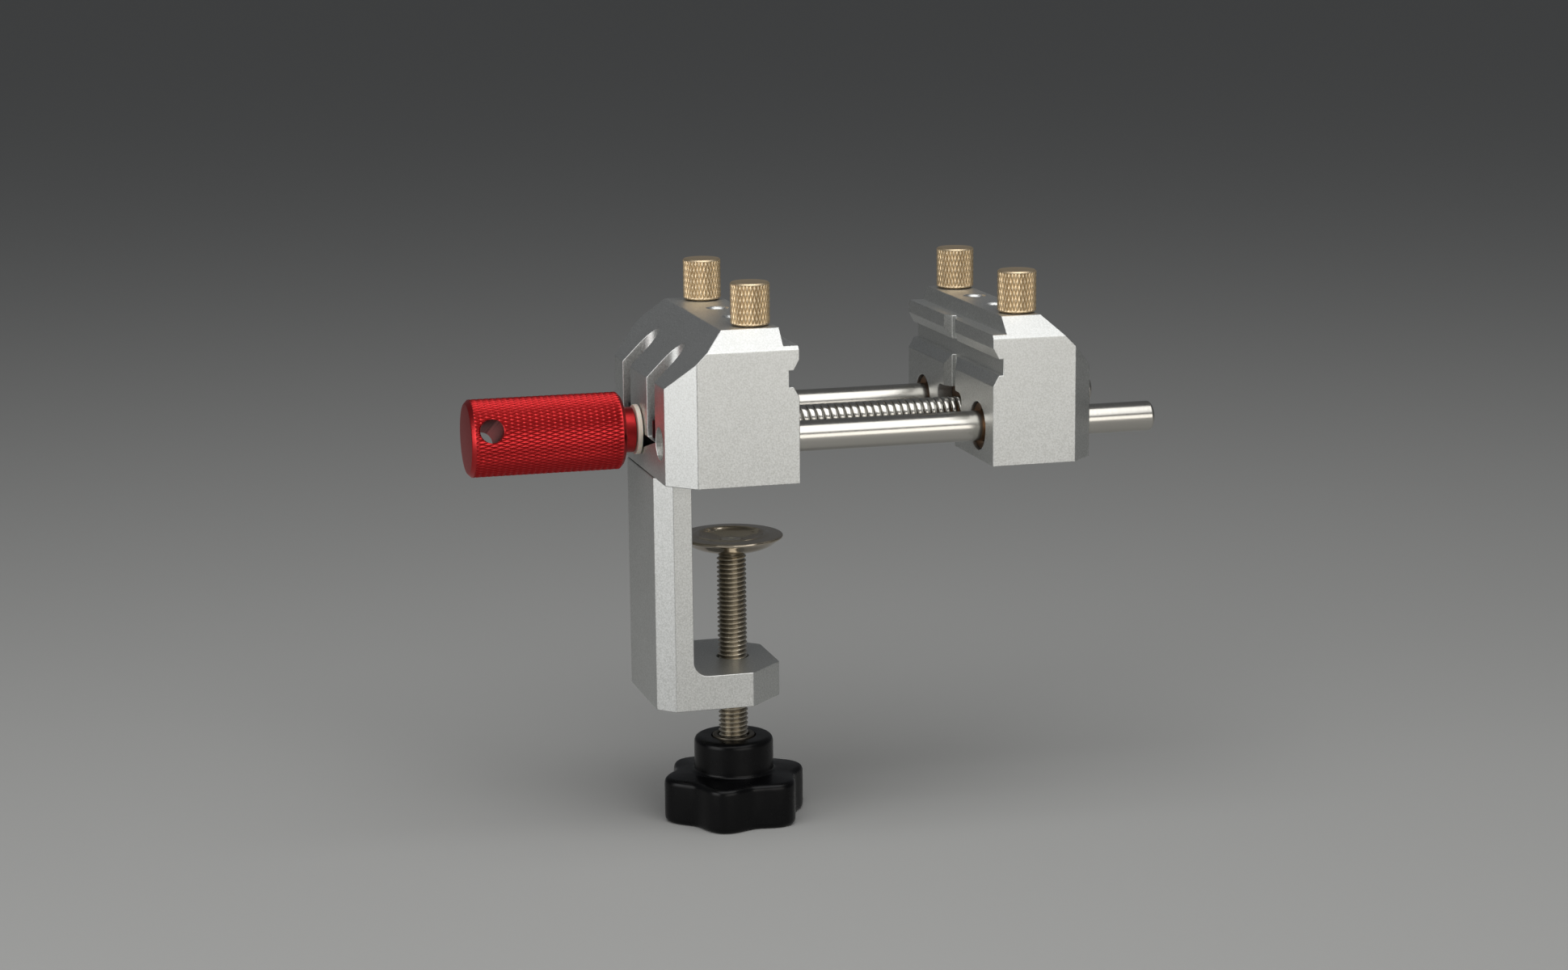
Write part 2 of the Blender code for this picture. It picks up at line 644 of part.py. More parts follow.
# Two guide rods, each held in the fixed jaw by a grub screw from below
rod = rod_profile(ROD_RADIUS, FIXED_BACK_X + ROD_RECESS, MOVING_BACK_X + ROD_OVERHANG, ROD_END_ROUND)
grub_top = DRIVE_HEIGHT - ROD_RADIUS - FIT_GAP
grub = rod_profile(ROD_GRUB_DIAMETER / 2, ROD_GRUB_RECESS, grub_top, EDGE_BREAK)
for y, word in zip(ROD_YS, SIDE_WORDS):
    add_piece(f"guide_rod_{word}", turned(rod, ROUND_STEPS, along_x(y, DRIVE_HEIGHT)), GROUND_STEEL)
    axis = along_z(grub_x, y)
    rod_grub = add_piece(f"rod_grub_screw_{word}", turned(grub, SMALL_STEPS, axis), BLACK_STEEL)
    grub_socket = socket_recess(GRUB_SOCKET_WIDTH, ROD_GRUB_RECESS - CUT_OVERRUN,
                                ROD_GRUB_RECESS + GRUB_SOCKET_DEPTH, axis)
    add_cutter(f"rod_grub_screw_{word}_socket_cutter", grub_socket, rod_grub)

# A plain bronze bush carries the lead screw's journal in the fixed jaw
inner_washer_x = SHOULDER_X - FIT_GAP - INNER_WASHER_THICKNESS
bush = ring_profile(JOURNAL_RADIUS + FIT_GAP, SCREW_BUSH_RADIUS, FIXED_BACK_X + SCREW_BUSH_RECESS,
                    inner_washer_x - FIT_GAP, EDGE_BREAK)
add_piece("lead_screw_bush", turned(bush, RING_STEPS, DRIVE_AXIS, closed=True), BRONZE)

# The moving jaw: slides on the rods, drawn by the nut in its face
moving = carrier("moving_jaw_carrier", (MOVING_FACE_X, 0, DRIVE_HEIGHT))
block = jaw_block(MOVING_FACE_X, 1, MOVING_LENGTH, MOVING_LIFT, MOVING_BACK_SLOPE, MOVING_CORNER_CHAMFER)
moving_jaw = add_piece("moving_jaw_block", block, SILVER_ANODISED, moving, smooth=False)
add_cutter("moving_groove_cutter", upright_groove(MOVING_FACE_X, 1, MOVING_LIFT), moving_jaw)
add_cutter("moving_pin_socket_cutter", pin_sockets(MOVING_PIN_X), moving_jaw)
guide_hole = through_hole(GUIDE_BORE_RADIUS, MOVING_FACE_X, MOVING_BACK_X)
add_cutter("guide_bore_cutter", pair_along_x(guide_hole, ROUND_STEPS), moving_jaw)
nut_start = MOVING_FACE_X + NUT_RECESS
nut_end = nut_start + NUT_LENGTH
slot_outline = rounded_rectangle(NUT_WIDTH + 2 * FIT_GAP, NUT_HEIGHT + 2 * FIT_GAP, NUT_CORNER + FIT_GAP,
                                 0, DRIVE_HEIGHT)
nut_slot = prism(slot_outline, MOVING_FACE_X - CUT_OVERRUN, nut_end + FIT_GAP, lengthwise)
add_cutter("nut_slot_cutter", nut_slot, moving_jaw)
exit_hole = blind_hole(SCREW_EXIT_DIAMETER / 2, nut_end - CUT_OVERRUN, MOVING_BACK_X)
add_cutter("screw_exit_cutter", turned(exit_hole, ROUND_STEPS, DRIVE_AXIS), moving_jaw)
nut_middle = (nut_start + nut_end) / 2
nut_bottom = DRIVE_HEIGHT - NUT_HEIGHT / 2
nut_screw_radius = NUT_SCREW_DIAMETER / 2
nut_screw_top = nut_bottom + NUT_SCREW_BITE
nut_passage = blind_hole(nut_screw_radius + FIT_GAP, nut_screw_top, MOVING_LIFT)
nut_passages = joined([turned(nut_passage, SMALL_STEPS, along_z(nut_middle, y)) for y in NUT_SCREW_YS])
add_cutter("nut_screw_passage_cutter", nut_passages, moving_jaw)

# The bronze nut, a loose block in its slot, and the two screws that hold it there
nut_outline = rounded_rectangle(NUT_WIDTH, NUT_HEIGHT, NUT_CORNER, 0, DRIVE_HEIGHT)
nut = add_piece("lead_nut", prism(nut_outline, nut_start, nut_end, lengthwise), BRONZE, moving)
nut_bore = through_hole(LEAD_DIAMETER / 2 + FIT_GAP, nut_start, nut_end)
add_cutter("nut_bore_cutter", turned(nut_bore, ROUND_STEPS, DRIVE_AXIS), nut)
nut_hole = blind_hole(nut_screw_radius + FIT_GAP, nut_screw_top + FIT_GAP, nut_bottom, 0)
nut_holes = joined([turned(nut_hole, SMALL_STEPS, along_z(nut_middle, y)) for y in NUT_SCREW_YS])
add_cutter("nut_screw_hole_cutter", nut_holes, nut)
nut_screw_foot = MOVING_LIFT + FIT_GAP
nut_screw = rod_profile(nut_screw_radius, nut_screw_foot, nut_screw_top, EDGE_BREAK)
for y, word in zip(NUT_SCREW_YS, SIDE_WORDS):
    axis = along_z(nut_middle, y)
    screw_shape = turned(nut_screw, SMALL_STEPS, axis)
    nut_screw_piece = add_piece(f"nut_screw_{word}", screw_shape, BLACK_STEEL, moving)
    nut_socket = socket_recess(NUT_SOCKET_WIDTH, nut_screw_foot - CUT_OVERRUN,
                               nut_screw_foot + GRUB_SOCKET_DEPTH, axis)
    add_cutter(f"nut_screw_{word}_socket_cutter", nut_socket, nut_screw_piece)

# Four bronze guide bushes, one at each end of both rod bores
face_bush_x = MOVING_FACE_X + GUIDE_BUSH_RECESS
back_bush_x = MOVING_BACK_X - GUIDE_BUSH_RECESS - GUIDE_BUSH_LENGTH
for y, word in zip(ROD_YS, SIDE_WORDS):
    for start, end_word in ((face_bush_x, "face"), (back_bush_x, "back")):
        ring = ring_profile(ROD_BORE_RADIUS, GUIDE_BUSH_RADIUS, start, start + GUIDE_BUSH_LENGTH, EDGE_BREAK)
        shape = turned(ring, RING_STEPS, along_x(y, DRIVE_HEIGHT), closed=True)
        add_piece(f"guide_bush_{word}_{end_word}", shape, BRONZE, moving)

# The lead screw, with its journal on the left and its thread on the right
drive = carrier("lead_screw_carrier", (SHOULDER_X, 0, DRIVE_HEIGHT))
lead_radius = LEAD_DIAMETER / 2
thread_start = SHOULDER_X + LEAD_COLLAR_WIDTH
journal = [
    (JOURNAL_RADIUS - EDGE_BREAK, JOURNAL_END_X),
    (JOURNAL_RADIUS, JOURNAL_END_X + EDGE_BREAK),
    (JOURNAL_RADIUS, SHOULDER_X),
    (lead_radius, SHOULDER_X),
    (lead_radius, thread_start),
]
lead_shape = threaded_bar(lead_radius, LEAD_THREAD_DEPTH, LEAD_CREST_WIDTH, LEAD_ROOT_WIDTH, LEAD_PITCH,
                          thread_start, LEAD_END_X, journal, [], DRIVE_AXIS)
add_piece("lead_screw", lead_shape, GROUND_STEEL, drive)
washer = ring_profile(JOURNAL_RADIUS + FIT_GAP, SCREW_BUSH_RADIUS, inner_washer_x,
                      SHOULDER_X - FIT_GAP, EDGE_BREAK)
add_piece("inner_thrust_washer", turned(washer, RING_STEPS, DRIVE_AXIS, closed=True), BRONZE, drive)
washer = ring_profile(JOURNAL_RADIUS + FIT_GAP, OUTER_WASHER_DIAMETER / 2, OUTER_WASHER_X,
                      OUTER_WASHER_X + OUTER_WASHER_THICKNESS, EDGE_BREAK)
add_piece("outer_thrust_washer", turned(washer, RING_STEPS, DRIVE_AXIS, closed=True), NYLON, drive)

# The handle: knurled bar stock with a turned neck and a hole for a tommy bar
handle_radius = HANDLE_DIAMETER / 2
handle_profile = [
    (0, HANDLE_OUTER_X),
    (handle_radius - HANDLE_END_CHAMFER, HANDLE_OUTER_X),
    (handle_radius, HANDLE_OUTER_X + HANDLE_END_CHAMFER),
    (handle_radius, HANDLE_INNER_X - HANDLE_END_CHAMFER),
    (handle_radius - HANDLE_END_CHAMFER, HANDLE_INNER_X),
    (HANDLE_NECK_DIAMETER / 2, HANDLE_INNER_X),
    (HANDLE_NECK_DIAMETER / 2, HANDLE_NECK_X),
    (JOURNAL_RADIUS + FIT_GAP, HANDLE_NECK_X),
    (JOURNAL_RADIUS + FIT_GAP, JOURNAL_END_X - FIT_GAP),
    (0, JOURNAL_END_X - FIT_GAP),
]
handle = add_piece("handle", turned(handle_profile, ROUND_STEPS, DRIVE_AXIS), RED_ANODISED, drive)
tommy_x = HANDLE_OUTER_X + TOMMY_HOLE_SETBACK
tommy_hole = through_hole(TOMMY_HOLE_DIAMETER / 2, -handle_radius, handle_radius, TOMMY_HOLE_CHAMFER)
tommy_axis = across_tilted(tommy_x, DRIVE_HEIGHT, TOMMY_HOLE_TURN)
add_cutter("tommy_hole_cutter", turned(tommy_hole, ROUND_STEPS, tommy_axis), handle)
handle_grub_x = HANDLE_INNER_X - HANDLE_GRUB_SETBACK
handle_grub_radius = HANDLE_GRUB_DIAMETER / 2
grub_bore = blind_hole(handle_grub_radius + FIT_GAP, 0, handle_radius, 0)
handle_grub_axis = along_y(handle_grub_x, DRIVE_HEIGHT)
add_cutter("handle_grub_hole_cutter", turned(grub_bore, SMALL_STEPS, handle_grub_axis), handle)
handle_grub_end = handle_radius - HANDLE_GRUB_RECESS
handle_grub = rod_profile(handle_grub_radius, JOURNAL_RADIUS + FIT_GAP, handle_grub_end, EDGE_BREAK)
grub_shape = turned(handle_grub, SMALL_STEPS, handle_grub_axis)
handle_grub_screw = add_piece("handle_grub_screw", grub_shape, BLACK_STEEL, drive)
grub_socket = socket_recess(GRUB_SOCKET_WIDTH, handle_grub_end - GRUB_SOCKET_DEPTH,
                            handle_grub_end + CUT_OVERRUN, handle_grub_axis)
add_cutter("handle_grub_socket_cutter", grub_socket, handle_grub_screw)

# The pressure pad, a pressed steel dish that swivels on the clamp screw's riveted tip
pad_carrier = carrier("pressure_pad_carrier", (0, 0, PAD_RIM_Z))
pad_radius = PAD_DIAMETER / 2
ridge_radius = PAD_RIDGE_DIAMETER / 2
pad_bore_radius = PIVOT_DIAMETER / 2 + FIT_GAP
dish_floor = PAD_RIM_Z - PAD_DISH_DEPTH
ridge_top = PAD_RIM_Z + PAD_RIDGE_HEIGHT
hub_foot = PAD_RIM_Z - PAD_HUB_DEPTH
pad_profile = [
    (pad_bore_radius, hub_foot),
    (PAD_HUB_DIAMETER / 2, hub_foot),
    (PAD_BELLY_DIAMETER / 2, PAD_RIM_Z - PAD_BELLY_DEPTH),
    (pad_radius - PAD_RIM_THICKNESS, PAD_RIM_Z - PAD_RIM_THICKNESS),
    (pad_radius, PAD_RIM_Z - PAD_RIM_THICKNESS / 2),
    (pad_radius - PAD_RIM_THICKNESS / 2, PAD_RIM_Z),
    (ridge_radius, ridge_top),
    (ridge_radius - PAD_RIDGE_WIDTH, ridge_top),
    (ridge_radius - 2 * PAD_RIDGE_WIDTH, PAD_RIM_Z),
    (PAD_HUB_DIAMETER / 2, dish_floor),
    (pad_bore_radius, dish_floor),
]
pad_shape = turned(pad_profile, ROUND_STEPS, along_z(0, 0), closed=True)
add_piece("pressure_pad", pad_shape, GROUND_STEEL, pad_carrier)

# The clamp screw, threaded from the knob up to the thin pivot under the pad
clamp_carrier = carrier("clamp_screw_carrier", (0, 0, PAD_RIM_Z), pad_carrier)
clamp_foot = KNOB_HUB_TOP_Z - KNOB_SCREW_DEPTH
pivot_radius = PIVOT_DIAMETER / 2
rivet_radius = RIVET_DIAMETER / 2
pivot = [
    (pivot_radius, CLAMP_THREAD_TOP_Z),
    (pivot_radius, PIVOT_TOP_Z),
    (rivet_radius, PIVOT_TOP_Z),
    (rivet_radius - EDGE_BREAK, PIVOT_TOP_Z + RIVET_HEIGHT),
]
clamp_radius = CLAMP_DIAMETER / 2
clamp_thread_foot = KNOB_HUB_TOP_Z - KNOB_THREAD_COVER
clamp_shank = [
    (clamp_radius - EDGE_BREAK, clamp_foot),
    (clamp_radius, clamp_foot + EDGE_BREAK),
    (clamp_radius, clamp_thread_foot),
]
clamp_shape = threaded_bar(clamp_radius, CLAMP_THREAD_DEPTH, 0, 0, CLAMP_PITCH, clamp_thread_foot,
                           CLAMP_THREAD_TOP_Z, clamp_shank, pivot, along_z(0, 0))
add_piece("clamp_screw", clamp_shape, ZINC_STEEL, clamp_carrier)

# The star knob, moulded round a steel insert that the clamp screw is locked into
knob_radius = KNOB_DIAMETER / 2
hub_radius = KNOB_HUB_DIAMETER / 2
insert_foot = KNOB_HUB_TOP_Z - INSERT_LENGTH


def knob_row(radius, along, lobed):
    """One ring of the knob: round, or following the lobes."""
    ring = []
    for step in range(KNOB_OUTLINE_STEPS):
        angle = 2 * pi * step / KNOB_OUTLINE_STEPS
        hollow = KNOB_HOLLOW_DEPTH * (1 - cos(KNOB_LOBES * angle)) / 2 if lobed else 0
        turn = angle + KNOB_TURN
        ring.append(((radius - hollow) * cos(turn), (radius - hollow) * sin(turn), along))
    return ring


corner = KNOB_EDGE_ROUND * (1 - sqrt(1 / 2))
knob_rows = [
    knob_row(CLAMP_BORE_RADIUS, clamp_foot - FIT_GAP, False),
    knob_row(CLAMP_BORE_RADIUS, insert_foot - FIT_GAP, False),
    knob_row(INSERT_RADIUS + FIT_GAP, insert_foot - FIT_GAP, False),
    knob_row(INSERT_RADIUS + FIT_GAP, KNOB_HUB_TOP_Z, False),
    knob_row(hub_radius - KNOB_HUB_ROUND, KNOB_HUB_TOP_Z, False),
    knob_row(hub_radius, KNOB_HUB_TOP_Z - KNOB_HUB_ROUND, False),
    knob_row(hub_radius, KNOB_STAR_TOP_Z, False),
    knob_row(knob_radius - KNOB_EDGE_ROUND, KNOB_STAR_TOP_Z, True),
    knob_row(knob_radius - corner, KNOB_STAR_TOP_Z - corner, True),
    knob_row(knob_radius, KNOB_STAR_TOP_Z - KNOB_EDGE_ROUND, True),
    knob_row(knob_radius, KNOB_BOTTOM_Z + KNOB_EDGE_ROUND, True),
    knob_row(knob_radius - corner, KNOB_BOTTOM_Z + corner, True),
    knob_row(knob_radius - KNOB_EDGE_ROUND, KNOB_BOTTOM_Z, True),
]
knob_shape = bmesh.new()
knob_rings = [[knob_shape.verts.new(point) for point in row] for row in knob_rows]
for lower, upper in zip(knob_rings, knob_rings[1:]):
    for step in range(KNOB_OUTLINE_STEPS):
        after = (step + 1) % KNOB_OUTLINE_STEPS
        knob_shape.faces.new((lower[step], lower[after], upper[after], upper[step]))
knob_shape.faces.new(knob_rings[0])
knob_shape.faces.new(knob_rings[-1])
add_piece("star_knob", knob_shape, BLACK_PLASTIC, clamp_carrier)
insert = ring_profile(CLAMP_BORE_RADIUS, INSERT_RADIUS, insert_foot, KNOB_HUB_TOP_Z + INSERT_PROUD,
                      EDGE_BREAK)
add_piece("knob_insert", turned(insert, RING_STEPS, along_z(0, 0), closed=True), ZINC_STEEL, clamp_carrier)

# Four brass dog pins, loose in the outer sockets of both jaws
pin_foot = JAW_HEIGHT + FIT_GAP
pin_top = pin_foot + PIN_HEAD_HEIGHT
pin_radius = PIN_HEAD_DIAMETER / 2
pin_shank_radius = PIN_SOCKET_DIAMETER / 2 - FIT_GAP
pin_profile = [
    (0, pin_foot - PIN_SHANK_LENGTH),
    (pin_shank_radius - PIN_SHANK_CHAMFER, pin_foot - PIN_SHANK_LENGTH),
    (pin_shank_radius, pin_foot - PIN_SHANK_LENGTH + PIN_SHANK_CHAMFER),
    (pin_shank_radius, pin_foot),
    (pin_radius - PIN_HEAD_CHAMFER, pin_foot),
    (pin_radius, pin_foot + PIN_HEAD_CHAMFER),
    (pin_radius, pin_top - PIN_HEAD_CHAMFER),
    (pin_radius - PIN_HEAD_CHAMFER, pin_top),
    (0, pin_top),
]
for jaw_word, x, holder in (("fixed", FIXED_PIN_X, None), ("moving", MOVING_PIN_X, moving)):
    for side_word, y in (("near", PIN_SOCKET_YS[0]), ("far", PIN_SOCKET_YS[-1])):
        pin_carrier = carrier(f"{jaw_word}_pin_{side_word}_carrier", (x, y, JAW_HEIGHT), holder)
        shape = turned(pin_profile, RING_STEPS, along_z(x, y))
        add_piece(f"{jaw_word}_pin_{side_word}", shape, BRASS, pin_carrier)
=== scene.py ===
"""The looks of a mini bench vise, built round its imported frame.

Metres, +Z up. The origin is on the clamp screw's axis, in the underside of the fixed jaw.
"""

from collections import namedtuple
from math import cos, pi, radians, sin

import bmesh
import bpy
from mathutils import Matrix, Vector


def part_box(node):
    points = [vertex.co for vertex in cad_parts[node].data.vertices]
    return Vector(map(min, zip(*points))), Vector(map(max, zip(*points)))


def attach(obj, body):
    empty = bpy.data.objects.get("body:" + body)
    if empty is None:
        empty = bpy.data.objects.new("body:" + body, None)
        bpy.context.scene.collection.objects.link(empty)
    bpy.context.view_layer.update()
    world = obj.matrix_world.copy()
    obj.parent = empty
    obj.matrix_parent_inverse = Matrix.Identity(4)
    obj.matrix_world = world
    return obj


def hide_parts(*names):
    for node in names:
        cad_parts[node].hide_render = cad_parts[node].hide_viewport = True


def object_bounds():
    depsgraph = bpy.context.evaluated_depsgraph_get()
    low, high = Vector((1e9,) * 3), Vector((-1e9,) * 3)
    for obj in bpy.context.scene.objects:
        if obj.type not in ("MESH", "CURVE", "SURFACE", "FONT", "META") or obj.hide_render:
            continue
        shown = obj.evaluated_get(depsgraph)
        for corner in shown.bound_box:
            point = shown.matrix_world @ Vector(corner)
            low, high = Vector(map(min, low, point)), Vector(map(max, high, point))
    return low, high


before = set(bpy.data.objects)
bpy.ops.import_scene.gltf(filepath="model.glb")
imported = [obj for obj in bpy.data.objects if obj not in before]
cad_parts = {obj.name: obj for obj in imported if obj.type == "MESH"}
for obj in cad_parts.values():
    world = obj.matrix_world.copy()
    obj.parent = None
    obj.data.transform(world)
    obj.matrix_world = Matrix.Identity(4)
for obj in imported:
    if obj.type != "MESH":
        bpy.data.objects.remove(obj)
cad_low, cad_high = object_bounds()
MM = 0.001

# The studio: a plain pale floor that the star knob stands on, a wide soft box overhead, a
# weaker one at the left and a low one in front. Surfaces that face none stay in soft shade.
FLOOR_HALF_SIZE = 20.0
FLOOR_COLOR = "#A9A9A7"
FLOOR_GRAIN = 1.5 * MM
FLOOR_DENT = 0.1 * MM
FLOOR_ROUGHNESS = 0.8
WORLD_COLOR = "#DDE0E4"
WORLD_STRENGTH = 0.14
# Each soft box: its name, place, width and height, power in watts and colour
SOFT_BOXES = (
    ("overhead_box", (-0.02, -0.40, 0.74), (1.20, 0.90), 7.1, "#FFFFFF"),
    ("left_box", (-0.80, -0.33, 0.15), (0.62, 0.50), 2.6, "#FFFFFF"),
    ("front_box", (0.25, -1.00, 0.12), (0.90, 0.40), 2.3, "#FFFCF7"),
)
LIGHT_TARGET = Vector((0.02, 0, -0.01))


def linear(hex_color):
    """An sRGB hex colour as the linear values that a shader takes."""
    shares = [int(hex_color[i:i + 2], 16) / 255 for i in (1, 3, 5)]
    return (*[s / 12.92 if s <= 0.04045 else ((s + 0.055) / 1.055) ** 2.4 for s in shares], 1.0)


def add_node(tree, kind, inputs=None, **settings):
    """Add a node with its settings. An input takes a value, or another node's output."""
    node = tree.nodes.new(kind)
    for name, value in settings.items():
        setattr(node, name, value)
    for name, value in (inputs or {}).items():
        if isinstance(value, bpy.types.NodeSocket):
            tree.links.new(value, node.inputs[name])
        else:
            node.inputs[name].default_value = value
    return node


def start_material(name, **surface):
    """A new material with its shader's plain values set, and the place on the piece."""
    material = bpy.data.materials.new(name)
    material.use_nodes = True
    tree = material.node_tree
    shader = tree.nodes["Principled BSDF"]
    for socket, value in surface.items():
        shader.inputs[socket.replace("_", " ")].default_value = value
    place = add_node(tree, "ShaderNodeTexCoord").outputs["Object"]
    return material, tree, shader, place


def feed(shader, **sources):
    """Lead the outputs of other nodes into a shader's sockets."""
    for socket, source in sources.items():
        shader.id_data.links.new(source, shader.inputs[socket.replace("_", " ")])


floor_material, tree, shader, place = start_material("matt_studio_paper", Roughness=FLOOR_ROUGHNESS)
shader.inputs["Base Color"].default_value = linear(FLOOR_COLOR)
fibres = add_node(tree, "ShaderNodeTexNoise", {"Vector": place, "Scale": 1 / FLOOR_GRAIN})
dents = add_node(tree, "ShaderNodeBump", {
    "Height": fibres.outputs[0], "Strength": 0.1, "Distance": FLOOR_DENT})
feed(shader, Normal=dents.outputs[0])
floor_mesh = bpy.data.meshes.new("studio_floor")
floor_corners = [(sx * FLOOR_HALF_SIZE, sy * FLOOR_HALF_SIZE, cad_low.z)
                 for sx, sy in ((-1, -1), (1, -1), (1, 1), (-1, 1))]
floor_mesh.from_pydata(floor_corners, [], [(0, 1, 2, 3)])
floor_mesh.materials.append(floor_material)
floor = bpy.data.objects.new("studio_floor", floor_mesh)
bpy.context.collection.objects.link(floor)

world = bpy.data.worlds.new("studio_air")
bpy.context.scene.world = world
world.use_nodes = True
world.node_tree.nodes["Background"].inputs["Color"].default_value = linear(WORLD_COLOR)
world.node_tree.nodes["Background"].inputs["Strength"].default_value = WORLD_STRENGTH

for name, box_place, box_size, power, color in SOFT_BOXES:
    light = bpy.data.lights.new(name, "AREA")
    light.shape = "RECTANGLE"
    light.size, light.size_y = box_size
    light.energy = power
    light.color = linear(color)[:3]
    lamp = bpy.data.objects.new(name, light)
    lamp.location = box_place
    lamp.rotation_euler = (LIGHT_TARGET - lamp.location).to_track_quat("-Z", "Y").to_euler()
    bpy.context.collection.objects.link(lamp)

# The camera: a short telephoto, turned to the vise from the left and a little above it, with
# its place, angles and focal length found from the vise's own edges in the photograph
PHOTO_WIDTH = 1940
FOCAL_PIXELS = 3857
CENTRE_OFFSET_PIXELS = 10
SENSOR_WIDTH = 36.0
CLIP_START = 10 * MM
CAMERA_PLACE = (-202.85 * MM, -789.86 * MM, 156.73 * MM)
CAMERA_TURN = radians(-15.56)
CAMERA_RISE = radians(11.338)
CAMERA_ROLL = radians(-0.503)
lens = bpy.data.cameras.new("photo_camera")
lens.sensor_width = SENSOR_WIDTH
lens.lens = SENSOR_WIDTH * FOCAL_PIXELS / PHOTO_WIDTH
lens.shift_x = -CENTRE_OFFSET_PIXELS / PHOTO_WIDTH
lens.clip_start = CLIP_START
camera = bpy.data.objects.new("photo_camera", lens)
bpy.context.collection.objects.link(camera)
level_back = Vector((sin(CAMERA_TURN), -cos(CAMERA_TURN), 0))
back = level_back * cos(CAMERA_RISE) + Vector((0, 0, sin(CAMERA_RISE)))
right = Vector((cos(CAMERA_TURN), sin(CAMERA_TURN), 0))
up = back.cross(right)
rolled_right = right * cos(CAMERA_ROLL) + up * sin(CAMERA_ROLL)
rolled_up = up * cos(CAMERA_ROLL) - right * sin(CAMERA_ROLL)
camera_axes = Matrix((rolled_right, rolled_up, back)).transposed().to_4x4()
camera.matrix_world = Matrix.Translation(CAMERA_PLACE) @ camera_axes
bpy.context.scene.camera = camera
bpy.context.scene.view_settings.view_transform = "Standard"

# The jaw blocks: cut from aluminium bar on a mill, blasted with glass beads and anodised
# clear. The blasting leaves an even satin, so faces differ only in the light they catch,
# and the mill's edge break shows as a thin bright line.
SIDES = ("near", "far")
# Beads leave a finer grain than this, which wouldn't show from the camera
JAW_GRAIN = 0.42 * MM
JAW_DENT = 0.03 * MM
JAW_CLOUD = 14 * MM
CLOUD_SHARE = 0.1
SATIN_COLORS = ("#C7C8C5", "#DEDFDD")
SATIN_TINT_RANGE = (0.4, 0.7)
SATIN_ROUGHNESS = (0.37, 0.48)
# Nearly all of a noise pattern's values lie between these
NOISE_RANGE = (0.3, 0.7)
SMOOTH_ANGLE = radians(32)
EDGE_ROUND = 0.24 * MM
EDGE_SEGMENTS = 3
EDGE_ANGLE = radians(24)
FLAT_WEIGHT = 100
LEDGE_DEPTH = 3.9 * MM
LEDGE_DROP = 4.2 * MM
LIP_HEIGHT = 3.6 * MM
FACET_DEPTH = 1.53 * MM
FACET_HEIGHT = 2.8 * MM
SLOT_WIDTH = 4.2 * MM
SLOT_DEPTH = 1.2 * MM
TOP_BEVEL = 5.2 * MM
FIXED_SLOPE = 14.7 * MM
FIXED_CORNER = 7.0 * MM
MOVING_SLOPE = 14.2 * MM
MOVING_CORNER = 6.2 * MM
SOCKET_RADIUS = 2.4 * MM
SOCKET_DEPTH = 11 * MM
SOCKET_MOUTH = 0.65 * MM
SOCKET_COUNT = 4
POCKET_RADIUS = 4.5 * MM
POCKET_FLOOR = 9.7 * MM
NUT_CORNER = 2.2 * MM
CORNER_STEPS = 9
EXIT_RADIUS = 5 * MM
BORE_STEPS = 72
SMALL_BORE_STEPS = 36
FIT_GAP = 0.3 * MM
OVERRUN = 2 * MM

LevelBar = namedtuple("LevelBar", "y z start end radius")
UprightBar = namedtuple("UprightBar", "x y foot top radius")


def level_bar(node):
    """Where a node turned about X lies in the frame."""
    low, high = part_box(node)
    return LevelBar((low.y + high.y) / 2, (low.z + high.z) / 2, low.x, high.x, (high.z - low.z) / 2)


def upright_bar(node):
    """Where a node turned about Z stands in the frame."""
    low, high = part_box(node)
    return UprightBar((low.x + high.x) / 2, (low.y + high.y) / 2, low.z, high.z, (high.x - low.x) / 2)


def satin_aluminium(name):
    """Bead-blasted, clear anodised aluminium: an even satin with a very fine grain."""
    material, tree, shader, place = start_material(name, Metallic=1.0)
    grain = add_node(tree, "ShaderNodeTexNoise", {"Vector": place, "Scale": 1 / JAW_GRAIN, "Detail": 3.0})
    cloud = add_node(tree, "ShaderNodeTexNoise", {"Vector": place, "Scale": 1 / JAW_CLOUD, "Detail": 2.0})
    mixed = add_node(tree, "ShaderNodeMath", {0: cloud.outputs[0], 1: CLOUD_SHARE, 2: grain.outputs[0]},
                     operation="MULTIPLY_ADD")
    share = add_node(tree, "ShaderNodeMapRange", {
        "Value": mixed.outputs[0], "From Min": SATIN_TINT_RANGE[0], "From Max": SATIN_TINT_RANGE[1]})
    tint = add_node(tree, "ShaderNodeMix", {
        0: share.outputs[0], 6: linear(SATIN_COLORS[0]), 7: linear(SATIN_COLORS[1])}, data_type="RGBA")
    gloss = add_node(tree, "ShaderNodeMapRange", {
        "Value": grain.outputs[0], "From Min": NOISE_RANGE[0], "From Max": NOISE_RANGE[1],
        "To Min": SATIN_ROUGHNESS[0], "To Max": SATIN_ROUGHNESS[1]})
    dents = add_node(tree, "ShaderNodeBump", {
        "Height": grain.outputs[0], "Strength": 0.6, "Distance": JAW_DENT})
    feed(shader, Base_Color=tint.outputs[2], Roughness=gloss.outputs[0], Normal=dents.outputs[0])
    return material


def mesh_of(shape, name):
    """Turn a bmesh into a mesh with its faces pointing out."""
    bmesh.ops.recalc_face_normals(shape, faces=shape.faces)
    mesh = bpy.data.meshes.new(name)
    shape.to_mesh(mesh)
    shape.free()
    return mesh


def add_piece(name, mesh, material, sharp=SMOOTH_ANGLE):
    """A named piece of the vise from its mesh, smooth but for its sharp edges."""
    mesh.shade_smooth()
    mesh.set_sharp_from_angle(angle=sharp)
    mesh.materials.clear()
    mesh.materials.append(material)
    piece = bpy.data.objects.new(name, mesh)
    bpy.context.collection.objects.link(piece)
    return piece


